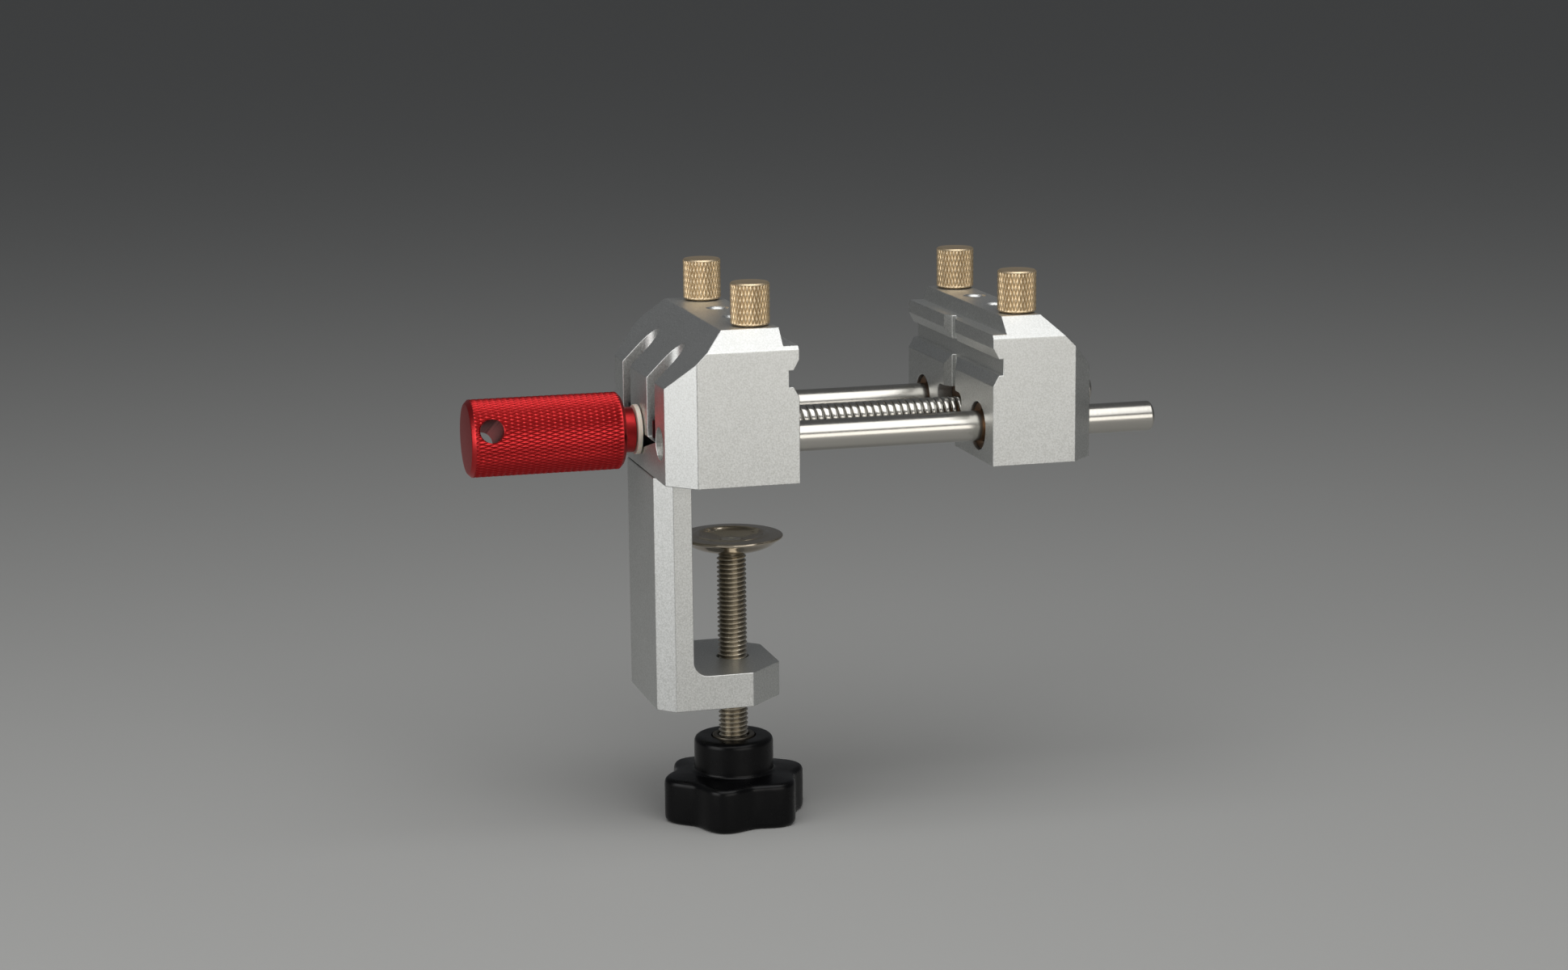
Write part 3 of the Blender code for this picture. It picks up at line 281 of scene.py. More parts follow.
def prism(outline, low, high, place):
    """A flat outline swept from low to high, with its ends closed."""
    shape = bmesh.new()
    ends = [[shape.verts.new(place(a, b, c)) for a, b in outline] for c in (low, high)]
    for ring in ends:
        shape.faces.new(ring)
    for i, j in zip(range(len(outline)), [*range(1, len(outline)), 0]):
        shape.faces.new((ends[0][i], ends[0][j], ends[1][j], ends[1][i]))
    bmesh.ops.recalc_face_normals(shape, faces=shape.faces)
    return shape


def swept_across(x, z, y):
    """For a prism with its outline in X and Z."""
    return x, y, z


def swept_up(x, y, z):
    """For a prism with its outline in X and Y."""
    return x, y, z


def swept_along(y, z, x):
    """For a prism with its outline in Y and Z."""
    return x, y, z


def slice_off(shape, point, normal):
    """Cut a flat facet and close it."""
    geometry = shape.verts[:] + shape.edges[:] + shape.faces[:]
    cut = bmesh.ops.bisect_plane(shape, geom=geometry, plane_co=point, plane_no=normal, clear_outer=True)
    bmesh.ops.edgeloop_fill(shape, edges=[e for e in cut["geom_cut"] if isinstance(e, bmesh.types.BMEdge)])


def corners_between(lower, upper, i, steps):
    """The corners of one face between two rings of points. A ring on the axis is one point."""
    j = (i + 1) % steps
    corners = [ring[k % len(ring)] for ring, k in ((lower, i), (lower, j), (upper, j), (upper, i))]
    return list(dict.fromkeys(corners))


def join_rings(shape, rings, steps):
    """Close the surface from each ring of points to the next."""
    for lower, upper in zip(rings, rings[1:]):
        for i in range(steps):
            shape.faces.new(corners_between(lower, upper, i, steps))


def turned(profile, steps, place, closed=False):
    """A turned shape; profile holds (radius, distance along the axis). A closed profile goes
    round a ring's wall, and an open one starts and ends on the axis."""
    shape = bmesh.new()
    rings = []
    for radius, along in profile:
        angles = [2 * pi * i / steps for i in range(steps if radius else 1)]
        rings.append([shape.verts.new(place(radius * cos(t), radius * sin(t), along)) for t in angles])
    join_rings(shape, rings + rings[:1] * closed, steps)
    bmesh.ops.recalc_face_normals(shape, faces=shape.faces)
    return shape


def along_x(y, z):
    """Turning axis along X."""
    return lambda a, b, c: (c, y + a, z + b)


def along_z(x, y):
    """Turning axis along Z."""
    return lambda a, b, c: (x + a, y + b, c)


def plug(radius, start, end):
    """Profile of a plain round cutter."""
    return [(0, start), (radius, start), (radius, end), (0, end)]


def bored(node, start, end):
    """Cutter for a level bore right through a jaw, with room for the piece that it holds."""
    bar = level_bar(node)
    profile = plug(bar.radius + FIT_GAP, start - OVERRUN, end + OVERRUN)
    return turned(profile, BORE_STEPS, along_x(bar.y, bar.z))


def drilled(bar, radius, foot, top, steps=SMALL_BORE_STEPS):
    """Cutter for an upright hole on the axis of the piece that goes in it."""
    return turned(plug(radius, foot, top), steps, along_z(bar.x, bar.y))


def carved(shape, cutters, name):
    """Cut shapes out of a block, one after another."""
    block = bpy.data.objects.new(name, mesh_of(shape, name))
    bpy.context.collection.objects.link(block)
    guides = []
    for cutter in cutters:
        guide = bpy.data.objects.new("cutter", mesh_of(cutter, "cutter"))
        bpy.context.collection.objects.link(guide)
        cut = block.modifiers.new("cut", "BOOLEAN")
        cut.solver = "EXACT"
        cut.object = guide
        guides.append(guide)
    result = bpy.data.meshes.new_from_object(block.evaluated_get(bpy.context.evaluated_depsgraph_get()))
    for item in [block, *guides]:
        bpy.data.objects.remove(item)
    return result


def ease_edges(piece):
    """Round every sharp edge by a small radius and keep the flats flat."""
    edge_round = piece.modifiers.new("edge_round", "BEVEL")
    edge_round.width = EDGE_ROUND
    edge_round.segments = EDGE_SEGMENTS
    edge_round.limit_method = "ANGLE"
    edge_round.angle_limit = EDGE_ANGLE
    edge_round.use_clamp_overlap = False
    flats = piece.modifiers.new("flat_faces", "WEIGHTED_NORMAL")
    flats.weight = FLAT_WEIGHT
    piece.data.set_sharp_from_angle(angle=pi)


def jaw_block(face_x, back_x, low, high, back_slope, corner):
    """A jaw's bar: ledge, lip and level groove in the face, slope and chamfers behind."""
    inward = 1 if back_x > face_x else -1
    slot = SLOT_WIDTH / 2
    groove_z = high.z - LEDGE_DROP - LIP_HEIGHT - FACET_HEIGHT - slot
    length = abs(back_x - face_x)
    section = [
        (0, low.z), (0, groove_z - slot - FACET_HEIGHT), (FACET_DEPTH, groove_z - slot),
        (FACET_DEPTH + SLOT_DEPTH, groove_z - slot), (FACET_DEPTH + SLOT_DEPTH, groove_z + slot),
        (FACET_DEPTH, groove_z + slot), (0, groove_z + slot + FACET_HEIGHT), (0, high.z - LEDGE_DROP),
        (LEDGE_DEPTH, high.z - LEDGE_DROP), (LEDGE_DEPTH, high.z), (length - back_slope, high.z),
        (length, high.z - back_slope), (length, low.z),
    ]
    outline = [(face_x + inward * depth, z) for depth, z in section]
    block = prism(outline, -high.y, high.y, swept_across)
    for side in (-1, 1):
        slice_off(block, (back_x, side * (high.y - corner), 0), (inward, side, 0))
        slice_off(block, (0, side * (high.y - TOP_BEVEL), high.z), (0, side, 1))
    return block


def upright_groove(face_x, inward, bottom, ledge):
    """Cutter for the upright groove in a jaw's face."""
    slot = SLOT_WIDTH / 2
    flare = slot + FACET_HEIGHT * (FACET_DEPTH + OVERRUN) / FACET_DEPTH
    section = [(-OVERRUN, -flare), (FACET_DEPTH, -slot), (FACET_DEPTH + SLOT_DEPTH, -slot),
               (FACET_DEPTH + SLOT_DEPTH, slot), (FACET_DEPTH, slot), (-OVERRUN, flare)]
    outline = [(face_x + inward * depth, y) for depth, y in section]
    return prism(outline, bottom - OVERRUN, ledge + OVERRUN, swept_up)


def pin_sockets(pin_nodes, top):
    """Cutters for a row of pin sockets that starts and ends under the jaw's two pins."""
    centres = [sum(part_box(node), Vector()) / 2 for node in pin_nodes]
    shares = [i / (SOCKET_COUNT - 1) for i in range(SOCKET_COUNT)]
    places = [centres[0].lerp(centres[1], share) for share in shares]
    profile = [
        (0, top - SOCKET_DEPTH), (SOCKET_RADIUS, top - SOCKET_DEPTH), (SOCKET_RADIUS, top - SOCKET_MOUTH),
        (SOCKET_RADIUS + SOCKET_MOUTH + OVERRUN, top + OVERRUN), (0, top + OVERRUN)]
    return [turned(profile, BORE_STEPS, along_z(p.x, p.y)) for p in places]


def screw_pocket(head, back_x, top):
    """Cutter for the pocket, open at the jaw's back, that a frame screw's head stands in."""
    outline = [(back_x - OVERRUN, head.y - POCKET_RADIUS)]
    for step in range(SMALL_BORE_STEPS + 1):
        angle = pi * (step / SMALL_BORE_STEPS - 1 / 2)
        outline.append((head.x + POCKET_RADIUS * cos(angle), head.y + POCKET_RADIUS * sin(angle)))
    outline.append((back_x - OVERRUN, head.y + POCKET_RADIUS))
    return prism(outline, POCKET_FLOOR, top + OVERRUN, swept_up)


def rounded_rectangle(low, high, corner):
    """Outline of a rectangle in Y and Z with round corners."""
    points = []
    for quarter, (y, z) in enumerate(((high.y, high.z), (low.y, high.z), (low.y, low.z), (high.y, low.z))):
        centre_y = y - corner if y == high.y else y + corner
        centre_z = z - corner if z == high.z else z + corner
        for step in range(CORNER_STEPS + 1):
            angle = (quarter + step / CORNER_STEPS) * pi / 2
            points.append((centre_y + corner * cos(angle), centre_z + corner * sin(angle)))
    return points


low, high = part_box("fixed_jaw_block")
block = jaw_block(high.x, low.x, low, high, FIXED_SLOPE, FIXED_CORNER)
cutters = [upright_groove(high.x, -1, low.z, high.z - LEDGE_DROP)]
cutters += pin_sockets(("fixed_pin_near", "fixed_pin_far"), high.z)
for side_word in SIDES:
    cutters.append(screw_pocket(upright_bar(f"frame_screw_{side_word}"), low.x, high.z))
    cutters.append(bored(f"guide_rod_{side_word}", low.x, high.x))
    grub = upright_bar(f"rod_grub_screw_{side_word}")
    cutters.append(drilled(grub, grub.radius + FIT_GAP, low.z - OVERRUN, grub.top))
cutters.append(bored("lead_screw_bush", low.x, high.x))
mesh = carved(block, cutters, "fixed_jaw_milled")
fixed_jaw = add_piece("fixed_jaw_milled", mesh, satin_aluminium("satin_anodised_fixed_jaw"))
ease_edges(fixed_jaw)
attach(fixed_jaw, "root")
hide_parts("fixed_jaw_block")

low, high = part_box("moving_jaw_block")
block = jaw_block(low.x, high.x, low, high, MOVING_SLOPE, MOVING_CORNER)
cutters = [upright_groove(low.x, 1, low.z, high.z - LEDGE_DROP)]
cutters += pin_sockets(("moving_pin_near", "moving_pin_far"), high.z)
for side_word in SIDES:
    cutters.append(bored(f"guide_bush_{side_word}_face", low.x, high.x))
    grub = upright_bar(f"nut_screw_{side_word}")
    cutters.append(drilled(grub, grub.radius + FIT_GAP, grub.foot - OVERRUN, grub.top))
nut_low, nut_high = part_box("lead_nut")
gap = Vector((FIT_GAP, FIT_GAP, FIT_GAP))
nut_slot = rounded_rectangle(nut_low - gap, nut_high + gap, NUT_CORNER + FIT_GAP)
cutters.append(prism(nut_slot, low.x - OVERRUN, nut_high.x + FIT_GAP, swept_along))
grip = level_bar("handle")
screw_line = along_x(grip.y, grip.z)
cutters.append(turned(plug(EXIT_RADIUS, nut_high.x - OVERRUN, high.x + OVERRUN), BORE_STEPS, screw_line))
mesh = carved(block, cutters, "moving_jaw_milled")
moving_jaw = add_piece("moving_jaw_milled", mesh, satin_aluminium("satin_anodised_moving_jaw"))
ease_edges(moving_jaw)
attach(moving_jaw, "moving_jaw")
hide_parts("moving_jaw_block")

# The clamp frame: one L of the same aluminium bar, screwed up against the fixed jaw, with
# its back corners chamfered and a hole for the clamp screw through the leg
POST_THICKNESS = 9.3 * MM
LEG_THICKNESS = 9.3 * MM
BACK_CHAMFER = 4.3 * MM
END_CHAMFER = 9.7 * MM
INNER_FILLET = 4.0 * MM
FILLET_STEPS = 16
SCREW_HOLE_RADIUS = 2.8 * MM
TAP_SPARE = 1.0 * MM
CLAMP_HOLE_RADIUS = 4.3 * MM
low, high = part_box("clamp_frame")
post_front = low.x + POST_THICKNESS
leg_top = low.z + LEG_THICKNESS
fillet = []
for step in range(FILLET_STEPS + 1):
    angle = pi / 2 * step / FILLET_STEPS
    fillet.append((post_front + INNER_FILLET * (1 - cos(angle)), leg_top + INNER_FILLET * (1 - sin(angle))))
outline = [(low.x, high.z), (post_front, high.z), *fillet, (high.x, leg_top), (high.x, low.z),
           (low.x, low.z)]
shape = prism(outline, low.y, high.y, swept_across)
for side in (-1, 1):
    slice_off(shape, (low.x, side * (high.y - BACK_CHAMFER), 0), (-1, side, 0))
    slice_off(shape, (high.x, side * (high.y - END_CHAMFER), 0), (1, side, 0))
clamp_hole = plug(CLAMP_HOLE_RADIUS, low.z - OVERRUN, leg_top + OVERRUN)
cutters = [turned(clamp_hole, BORE_STEPS, along_z(0, 0))]
for side_word in SIDES:
    screw = upright_bar(f"frame_screw_{side_word}")
    cutters.append(drilled(screw, SCREW_HOLE_RADIUS, screw.foot - TAP_SPARE, high.z + OVERRUN))
mesh = carved(shape, cutters, "clamp_frame_milled")
clamp_frame = add_piece("clamp_frame_milled", mesh, satin_aluminium("satin_anodised_frame"))
ease_edges(clamp_frame)
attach(clamp_frame, "root")
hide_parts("clamp_frame")

# The frame screws: two M5 socket cap screws, cold headed and blacked by chemical oxide,
# which leaves a dark oily satin. They stand in the pockets of the fixed jaw.
OXIDE_COLORS = ("#17171A", "#26262A")
OXIDE_ROUGHNESS = (0.28, 0.42)
OXIDE_MOTTLE = 1.2 * MM
OXIDE_DENT = 0.05 * MM
HEX_SIDES = 6
SMALL_STEPS = 48
CURVE_STEPS = 5
# A corner's curve takes less than half of a short side, so that two never meet
SIDE_SHARE = 0.49
SHANK_RADIUS = 2.5 * MM
HEAD_HEIGHT = 5 * MM
HEAD_ROUND = 0.6 * MM
HEAD_SOCKET_WIDTH = 4.0 * MM
HEAD_SOCKET_DEPTH = 2.5 * MM


def blacked_steel(name):
    """Black oxide on steel: nearly black, with a faint oily mottle."""
    material, tree, shader, place = start_material(name, Metallic=0.9)
    mottle = add_node(tree, "ShaderNodeTexNoise", {
        "Vector": place, "Scale": 1 / OXIDE_MOTTLE, "Detail": 5.0})
    tint = add_node(tree, "ShaderNodeMix", {
        0: mottle.outputs[0], 6: linear(OXIDE_COLORS[0]), 7: linear(OXIDE_COLORS[1])}, data_type="RGBA")
    gloss = add_node(tree, "ShaderNodeMapRange", {
        "Value": mottle.outputs[0], "From Min": NOISE_RANGE[0], "From Max": NOISE_RANGE[1],
        "To Min": OXIDE_ROUGHNESS[0], "To Max": OXIDE_ROUGHNESS[1]})
    dents = add_node(tree, "ShaderNodeBump", {
        "Height": mottle.outputs[0], "Strength": 0.1, "Distance": OXIDE_DENT})
    feed(shader, Base_Color=tint.outputs[2], Roughness=gloss.outputs[0], Normal=dents.outputs[0])
    return material


def rounded(points, steps=CURVE_STEPS):
    """Replace corners by short curves: a point is (radius, along) or (radius, along, round)."""
    smooth = []
    for i, point in enumerate(points):
        if len(point) == 2:
            smooth.append(point)
            continue
        corner = Vector(point[:2])
        ends = []
        for other in (points[i - 1], points[(i + 1) % len(points)]):
            run = Vector(other[:2]) - corner
            ends.append(corner + run.normalized() * min(point[2], run.length * SIDE_SHARE))
        for step in range(steps + 1):
            t = step / steps
            smooth.append(tuple(ends[0] * (1 - t) ** 2 + corner * 2 * t * (1 - t) + ends[1] * t * t))
    return smooth


def socket_screw(name, profile, socket_width, socket_start, socket_end, axis):
    """A turned and blacked screw with a hexagon socket, sized by its width across flats."""
    socket = plug(socket_width / 2 / cos(pi / HEX_SIDES), socket_start, socket_end)
    mesh = carved(turned(profile, SMALL_STEPS, axis), [turned(socket, HEX_SIDES, axis)], name)
    return add_piece(name, mesh, black_oxide)


black_oxide = blacked_steel("black_oxide_steel")
for side_word in SIDES:
    bar = upright_bar(f"frame_screw_{side_word}")
    head_foot = bar.top - HEAD_HEIGHT
    profile = rounded([(0, bar.foot), (SHANK_RADIUS, bar.foot, FIT_GAP), (SHANK_RADIUS, head_foot),
                       (bar.radius, head_foot, FIT_GAP), (bar.radius, bar.top, HEAD_ROUND), (0, bar.top)])
    screw = socket_screw(f"frame_screw_{side_word}_headed", profile, HEAD_SOCKET_WIDTH,
                         bar.top - HEAD_SOCKET_DEPTH, bar.top + OVERRUN, along_z(bar.x, bar.y))
    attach(screw, "root")
    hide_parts(f"frame_screw_{side_word}")

# The guide rods: 8 mm stainless bar, ground round after round, so faint rings run about them,
# with both ends chamfered. Two grub screws from the fixed jaw's underside hold them.
ROD_COLOR = "#C6C3BC"
ROD_ROUGHNESS = (0.20, 0.26)
# A grinding wheel's rings are finer, but wouldn't show from the camera
GRIND_RING = 0.35 * MM
GRIND_LENGTH = 9 * MM
SCRATCH_DEPTH = 0.004 * MM
ROD_STEPS = 96
ROD_END_ROUND = 0.6 * MM
GRUB_SOCKET_WIDTH = 2.0 * MM
GRUB_SOCKET_DEPTH = 1.8 * MM
GRUB_CHAMFER = 0.3 * MM


def fine_finished_metal(name, color, roughness, stretch):
    """Ground, turned or buffed metal: glossy, with fine marks, stretched as the tool ran."""
    material, tree, shader, place = start_material(name, Metallic=1.0)
    shader.inputs["Base Color"].default_value = linear(color)
    scaled = add_node(tree, "ShaderNodeMapping", {"Vector": place, "Scale": stretch})
    marks = add_node(tree, "ShaderNodeTexNoise", {"Vector": scaled.outputs[0], "Scale": 1.0, "Detail": 4.0})
    gloss = add_node(tree, "ShaderNodeMapRange", {
        "Value": marks.outputs[0], "From Min": NOISE_RANGE[0], "From Max": NOISE_RANGE[1],
        "To Min": roughness[0], "To Max": roughness[1]})
    scratches = add_node(tree, "ShaderNodeBump", {
        "Height": marks.outputs[0], "Strength": 0.03, "Distance": SCRATCH_DEPTH})
    feed(shader, Roughness=gloss.outputs[0], Normal=scratches.outputs[0])
    return material


def grub_profile(start, end, radius):
    """Profile of a grub screw, chamfered at both ends."""
    return rounded([(0, start), (radius, start, GRUB_CHAMFER), (radius, end, GRUB_CHAMFER), (0, end)])


rod_steel = fine_finished_metal("ground_stainless_rod", ROD_COLOR, ROD_ROUGHNESS,
                                (1 / GRIND_RING, 1 / GRIND_LENGTH, 1 / GRIND_LENGTH))
for side_word in SIDES:
    bar = level_bar(f"guide_rod_{side_word}")
    flat = bar.radius - ROD_END_ROUND
    profile = rounded([
        (0, bar.start), (flat, bar.start, FIT_GAP), (bar.radius, bar.start + ROD_END_ROUND, FIT_GAP),
        (bar.radius, bar.end - ROD_END_ROUND, FIT_GAP), (flat, bar.end, FIT_GAP), (0, bar.end)])
    name = f"guide_rod_{side_word}_ground"
    rod = add_piece(name, mesh_of(turned(profile, ROD_STEPS, along_x(bar.y, bar.z)), name), rod_steel)
    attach(rod, "root")
    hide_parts(f"guide_rod_{side_word}")
    bar = upright_bar(f"rod_grub_screw_{side_word}")
    grub = socket_screw(f"rod_grub_screw_{side_word}_blacked", grub_profile(bar.foot, bar.top, bar.radius),
                        GRUB_SOCKET_WIDTH, bar.foot - OVERRUN, bar.foot + GRUB_SOCKET_DEPTH,
                        along_z(bar.x, bar.y))
    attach(grub, "root")
    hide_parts(f"rod_grub_screw_{side_word}")

# The bushes: pressed and sintered bronze rings, one for the lead screw and four for the rods.
# Their own brown is painted darker as shade for the recesses they sit in, and their bores open in chamfered
# mouths.
# The bronze's own brown, darkened with painted shade
BRONZE_SHADED_COLORS = ("#2E2118", "#705238")
BRONZE_ROUGHNESS = 0.38
# Real pores are finer, but wouldn't show from the camera
BRONZE_PORE = 0.35 * MM
PORE_RANGE = (0.05, 0.35)
PORE_DEPTH = 0.04 * MM
LEAD_BUSH_BORE_RADIUS = 3.3 * MM
ROD_BUSH_BORE_RADIUS = 4.3 * MM
BUSH_STEPS = 72
BUSH_ROUND = 0.35 * MM
BUSH_LIP = 0.5 * MM
BUSH_MOUTH = 0.8 * MM


def sintered_bronze(name):
    """Sintered bronze: warm brown metal, painted dark as shade, with darker pores."""
    material, tree, shader, place = start_material(name, Metallic=1.0, Roughness=BRONZE_ROUGHNESS)
    pores = add_node(tree, "ShaderNodeTexVoronoi", {"Vector": place, "Scale": 1 / BRONZE_PORE})
    share = add_node(tree, "ShaderNodeMapRange", {
        "Value": pores.outputs[0], "From Min": PORE_RANGE[0], "From Max": PORE_RANGE[1]})
    tint = add_node(tree, "ShaderNodeMix", {
        0: share.outputs[0], 6: linear(BRONZE_SHADED_COLORS[0]), 7: linear(BRONZE_SHADED_COLORS[1])}, data_type="RGBA")
    dents = add_node(tree, "ShaderNodeBump", {
        "Height": share.outputs[0], "Strength": 0.25, "Distance": PORE_DEPTH})
    feed(shader, Base_Color=tint.outputs[2], Normal=dents.outputs[0])
    return material


def add_ring(name, wall, steps, axis, material):
    """A ring, turned from the section of its wall."""
    return add_piece(name, mesh_of(turned(wall, steps, axis, closed=True), name), material)


bronze = sintered_bronze("sintered_bronze")
bushes = {"lead_screw_bush": ("root", LEAD_BUSH_BORE_RADIUS)}
for side_word in SIDES:
    for end_word in ("face", "back"):
        bushes[f"guide_bush_{side_word}_{end_word}"] = ("moving_jaw", ROD_BUSH_BORE_RADIUS)
for node, (body, bore_radius) in bushes.items():
    bar = level_bar(node)
    lip = bar.radius - BUSH_LIP
    wall = rounded([
        (bore_radius, bar.start + BUSH_MOUTH), (lip, bar.start), (bar.radius, bar.start, BUSH_ROUND),
        (bar.radius, bar.end, BUSH_ROUND), (lip, bar.end), (bore_radius, bar.end - BUSH_MOUTH)])
    bush = add_ring(f"{node}_sintered", wall, BUSH_STEPS, along_x(bar.y, bar.z), bronze)
    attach(bush, body)
    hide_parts(node)

# The lead nut: a bronze block, loose in the moving jaw's slot, that the lead screw runs
# through. Two socket grub screws from the jaw's underside keep it there.
NUT_BORE_RADIUS = 4.3 * MM
NUT_SCREW_HOLE_DEPTH = 5.3 * MM
NUT_SOCKET_WIDTH = 1.5 * MM
NUT_SOCKET_DEPTH = 1.8 * MM
shape = prism(rounded_rectangle(nut_low, nut_high, NUT_CORNER), nut_low.x, nut_high.x, swept_along)
nut_bore = plug(NUT_BORE_RADIUS, nut_low.x - OVERRUN, nut_high.x + OVERRUN)
cutters = [turned(nut_bore, BORE_STEPS, screw_line)]
for side_word in SIDES:
    bar = upright_bar(f"nut_screw_{side_word}")
    cutters.append(drilled(bar, bar.radius + FIT_GAP, nut_low.z - OVERRUN, nut_low.z + NUT_SCREW_HOLE_DEPTH,
                           SMALL_STEPS))
lead_nut = add_piece("lead_nut_milled", carved(shape, cutters, "lead_nut_milled"), bronze)
ease_edges(lead_nut)
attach(lead_nut, "moving_jaw")
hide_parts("lead_nut")
for side_word in SIDES:
    bar = upright_bar(f"nut_screw_{side_word}")
    nut_screw = socket_screw(f"nut_screw_{side_word}_blacked", grub_profile(bar.foot, bar.top, bar.radius),
                             NUT_SOCKET_WIDTH, bar.foot - OVERRUN, bar.foot + NUT_SOCKET_DEPTH,
                             along_z(bar.x, bar.y))
    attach(nut_screw, "moving_jaw")
    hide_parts(f"nut_screw_{side_word}")

# The lead screw: an 8 mm stainless bar with a rolled thread of 2 mm pitch, with round crests
# painted bright as a highlight and rougher roots painted dark as shade. Its left end is turned down to a 6
# mm journal.
LEAD_PITCH = 2.0 * MM
LEAD_DEPTH = 1.15 * MM
LEAD_COLLAR = 1.5 * MM
LEAD_SHOULDER_X = 4.85 * MM
LEAD_FORM_POINTS = 12
LEAD_FORM_POWER = 0.32
JOURNAL_RADIUS = 3.0 * MM
THREAD_STEPS = 48
SPARE_TURNS = 3
# Painted highlight on the thread's crests and painted shade in its roots
CREST_HIGHLIGHT_COLOR = "#CFCCC5"
ROOT_SHADE_COLOR = "#55524C"
THREAD_ROUGHNESS = (0.20, 0.34)
THREAD_MOTTLE = 1.5 * MM
UNEVEN_SHARE = 0.4
RELIEF_DENT = 0.03 * MM
WELD = 0.001 * MM


def threaded(radius, depth, form, pitch, start, end, before, after, place):
    """A bar with a helical thread from start to end. form is the thread's section over one
    pitch, and before and after are plain stretches as (radius, distance) points."""
    core = radius - depth
    turns = int((end - start) / pitch) + SPARE_TURNS
    shape = bmesh.new()
    relief = shape.verts.layers.float.new("relief")
    columns = []
    for i in range(THREAD_STEPS + 1):
        turn = i / THREAD_STEPS
        column = [(r, z, 1) for r, z in before]
        for k in range(turns):
            for offset, height in form:
                along = min(max(start + (k - 1 + turn + offset) * pitch, start), end)
                reach = min(core + depth * height, core + along - start, core + end - along)
                column.append((reach, along, (reach - core) / depth))
        column += [(r, z, 1) for r, z in after]
        angle = 2 * pi * turn
        verts = []
        for r, z, height in column:
            vert = shape.verts.new(place(r * cos(angle), r * sin(angle), z))
            vert[relief] = height
            verts.append(vert)
        columns.append(verts)
    for left, here in zip(columns, columns[1:]):
        for row in range(len(left) - 1):
            shape.faces.new((left[row], here[row], here[row + 1], left[row + 1]))
    shape.faces.new([column[0] for column in columns[:-1]])
    shape.faces.new([column[-1] for column in columns[:-1]])
    bmesh.ops.remove_doubles(shape, verts=shape.verts, dist=WELD)
    return shape


def relief_shaded_metal(name, root_shade_color, crest_highlight_color, roughness, mottle_size):
    """Metal with a cut or rolled relief: crests painted light as a highlight, hollows painted dark as shade
    and rougher.
    """
    material, tree, shader, place = start_material(name, Metallic=1.0)
    height = add_node(tree, "ShaderNodeAttribute", attribute_name="relief").outputs["Fac"]
    mottle = add_node(tree, "ShaderNodeTexNoise", {
        "Vector": place, "Scale": 1 / mottle_size, "Detail": 4.0})
    uneven = add_node(tree, "ShaderNodeMath", {
        0: mottle.outputs[0], 1: UNEVEN_SHARE, 2: -UNEVEN_SHARE / 2}, operation="MULTIPLY_ADD")
    # Painted light: by relief height, crests take the painted highlight colour and hollows the painted shade
    # colour, with a random mottle.
    lit_share = add_node(tree, "ShaderNodeMath", {0: height, 1: uneven.outputs[0]}, operation="ADD",
                    use_clamp=True)
    tint = add_node(tree, "ShaderNodeMix", {
        0: lit_share.outputs[0], 6: linear(root_shade_color), 7: linear(crest_highlight_color)}, data_type="RGBA")
    gloss = add_node(tree, "ShaderNodeMapRange", {
        "Value": lit_share.outputs[0], "To Min": roughness[1], "To Max": roughness[0]})
    dents = add_node(tree, "ShaderNodeBump", {
        "Height": mottle.outputs[0], "Strength": 0.08, "Distance": RELIEF_DENT})
    feed(shader, Base_Color=tint.outputs[2], Roughness=gloss.outputs[0], Normal=dents.outputs[0])
    return material


lead_form_shares = []
for k in range(LEAD_FORM_POINTS):
    angle = pi * k / LEAD_FORM_POINTS
    lead_form_shares.append(((1 - cos(angle)) / 2, sin(angle) ** LEAD_FORM_POWER))
bar = level_bar("lead_screw")
thread_start = LEAD_SHOULDER_X + LEAD_COLLAR
journal = rounded([(0, bar.start), (JOURNAL_RADIUS, bar.start, FIT_GAP), (JOURNAL_RADIUS, LEAD_SHOULDER_X),
                   (bar.radius, LEAD_SHOULDER_X, FIT_GAP / 2), (bar.radius, thread_start)])[1:]
shape = threaded(bar.radius, LEAD_DEPTH, lead_form_shares, LEAD_PITCH, thread_start, bar.end, journal, [],
                 screw_line)
rolled_steel = relief_shaded_metal("rolled_stainless_thread", ROOT_SHADE_COLOR, CREST_HIGHLIGHT_COLOR, THREAD_ROUGHNESS,
                            THREAD_MOTTLE)
lead_screw = add_piece("lead_screw_rolled", mesh_of(shape, "lead_screw_rolled"), rolled_steel)
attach(lead_screw, "lead_screw_set")
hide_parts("lead_screw")

# The thrust washers: a thin bronze one inside the fixed jaw and an off-white nylon one
# outside, punched from sheet, which the handle's neck turns against
WASHER_BORE_RADIUS = 3.3 * MM
WASHER_ROUND = 0.25 * MM
SMALL_CURVE_STEPS = 3
NYLON_COLORS = ("#E6DCCA", "#F2EADC")
NYLON_MOTTLE = 2.5 * MM
NYLON_DENT = 0.05 * MM
NYLON_ROUGHNESS = 0.46
NYLON_GLOW_SHARE = 0.15
NYLON_GLOW_DEPTH = 1 * MM


def cut_nylon(name):
    """Natural nylon sheet: creamy, a little waxy and slightly uneven."""
    material, tree, shader, place = start_material(
        name, Roughness=NYLON_ROUGHNESS, IOR=1.53, Subsurface_Weight=NYLON_GLOW_SHARE,
        Subsurface_Scale=NYLON_GLOW_DEPTH)
    mottle = add_node(tree, "ShaderNodeTexNoise", {
        "Vector": place, "Scale": 1 / NYLON_MOTTLE, "Detail": 3.0})
    tint = add_node(tree, "ShaderNodeMix", {
        0: mottle.outputs[0], 6: linear(NYLON_COLORS[0]), 7: linear(NYLON_COLORS[1])}, data_type="RGBA")
    dents = add_node(tree, "ShaderNodeBump", {
        "Height": mottle.outputs[0], "Strength": 0.1, "Distance": NYLON_DENT})
    feed(shader, Base_Color=tint.outputs[2], Normal=dents.outputs[0])
    return material


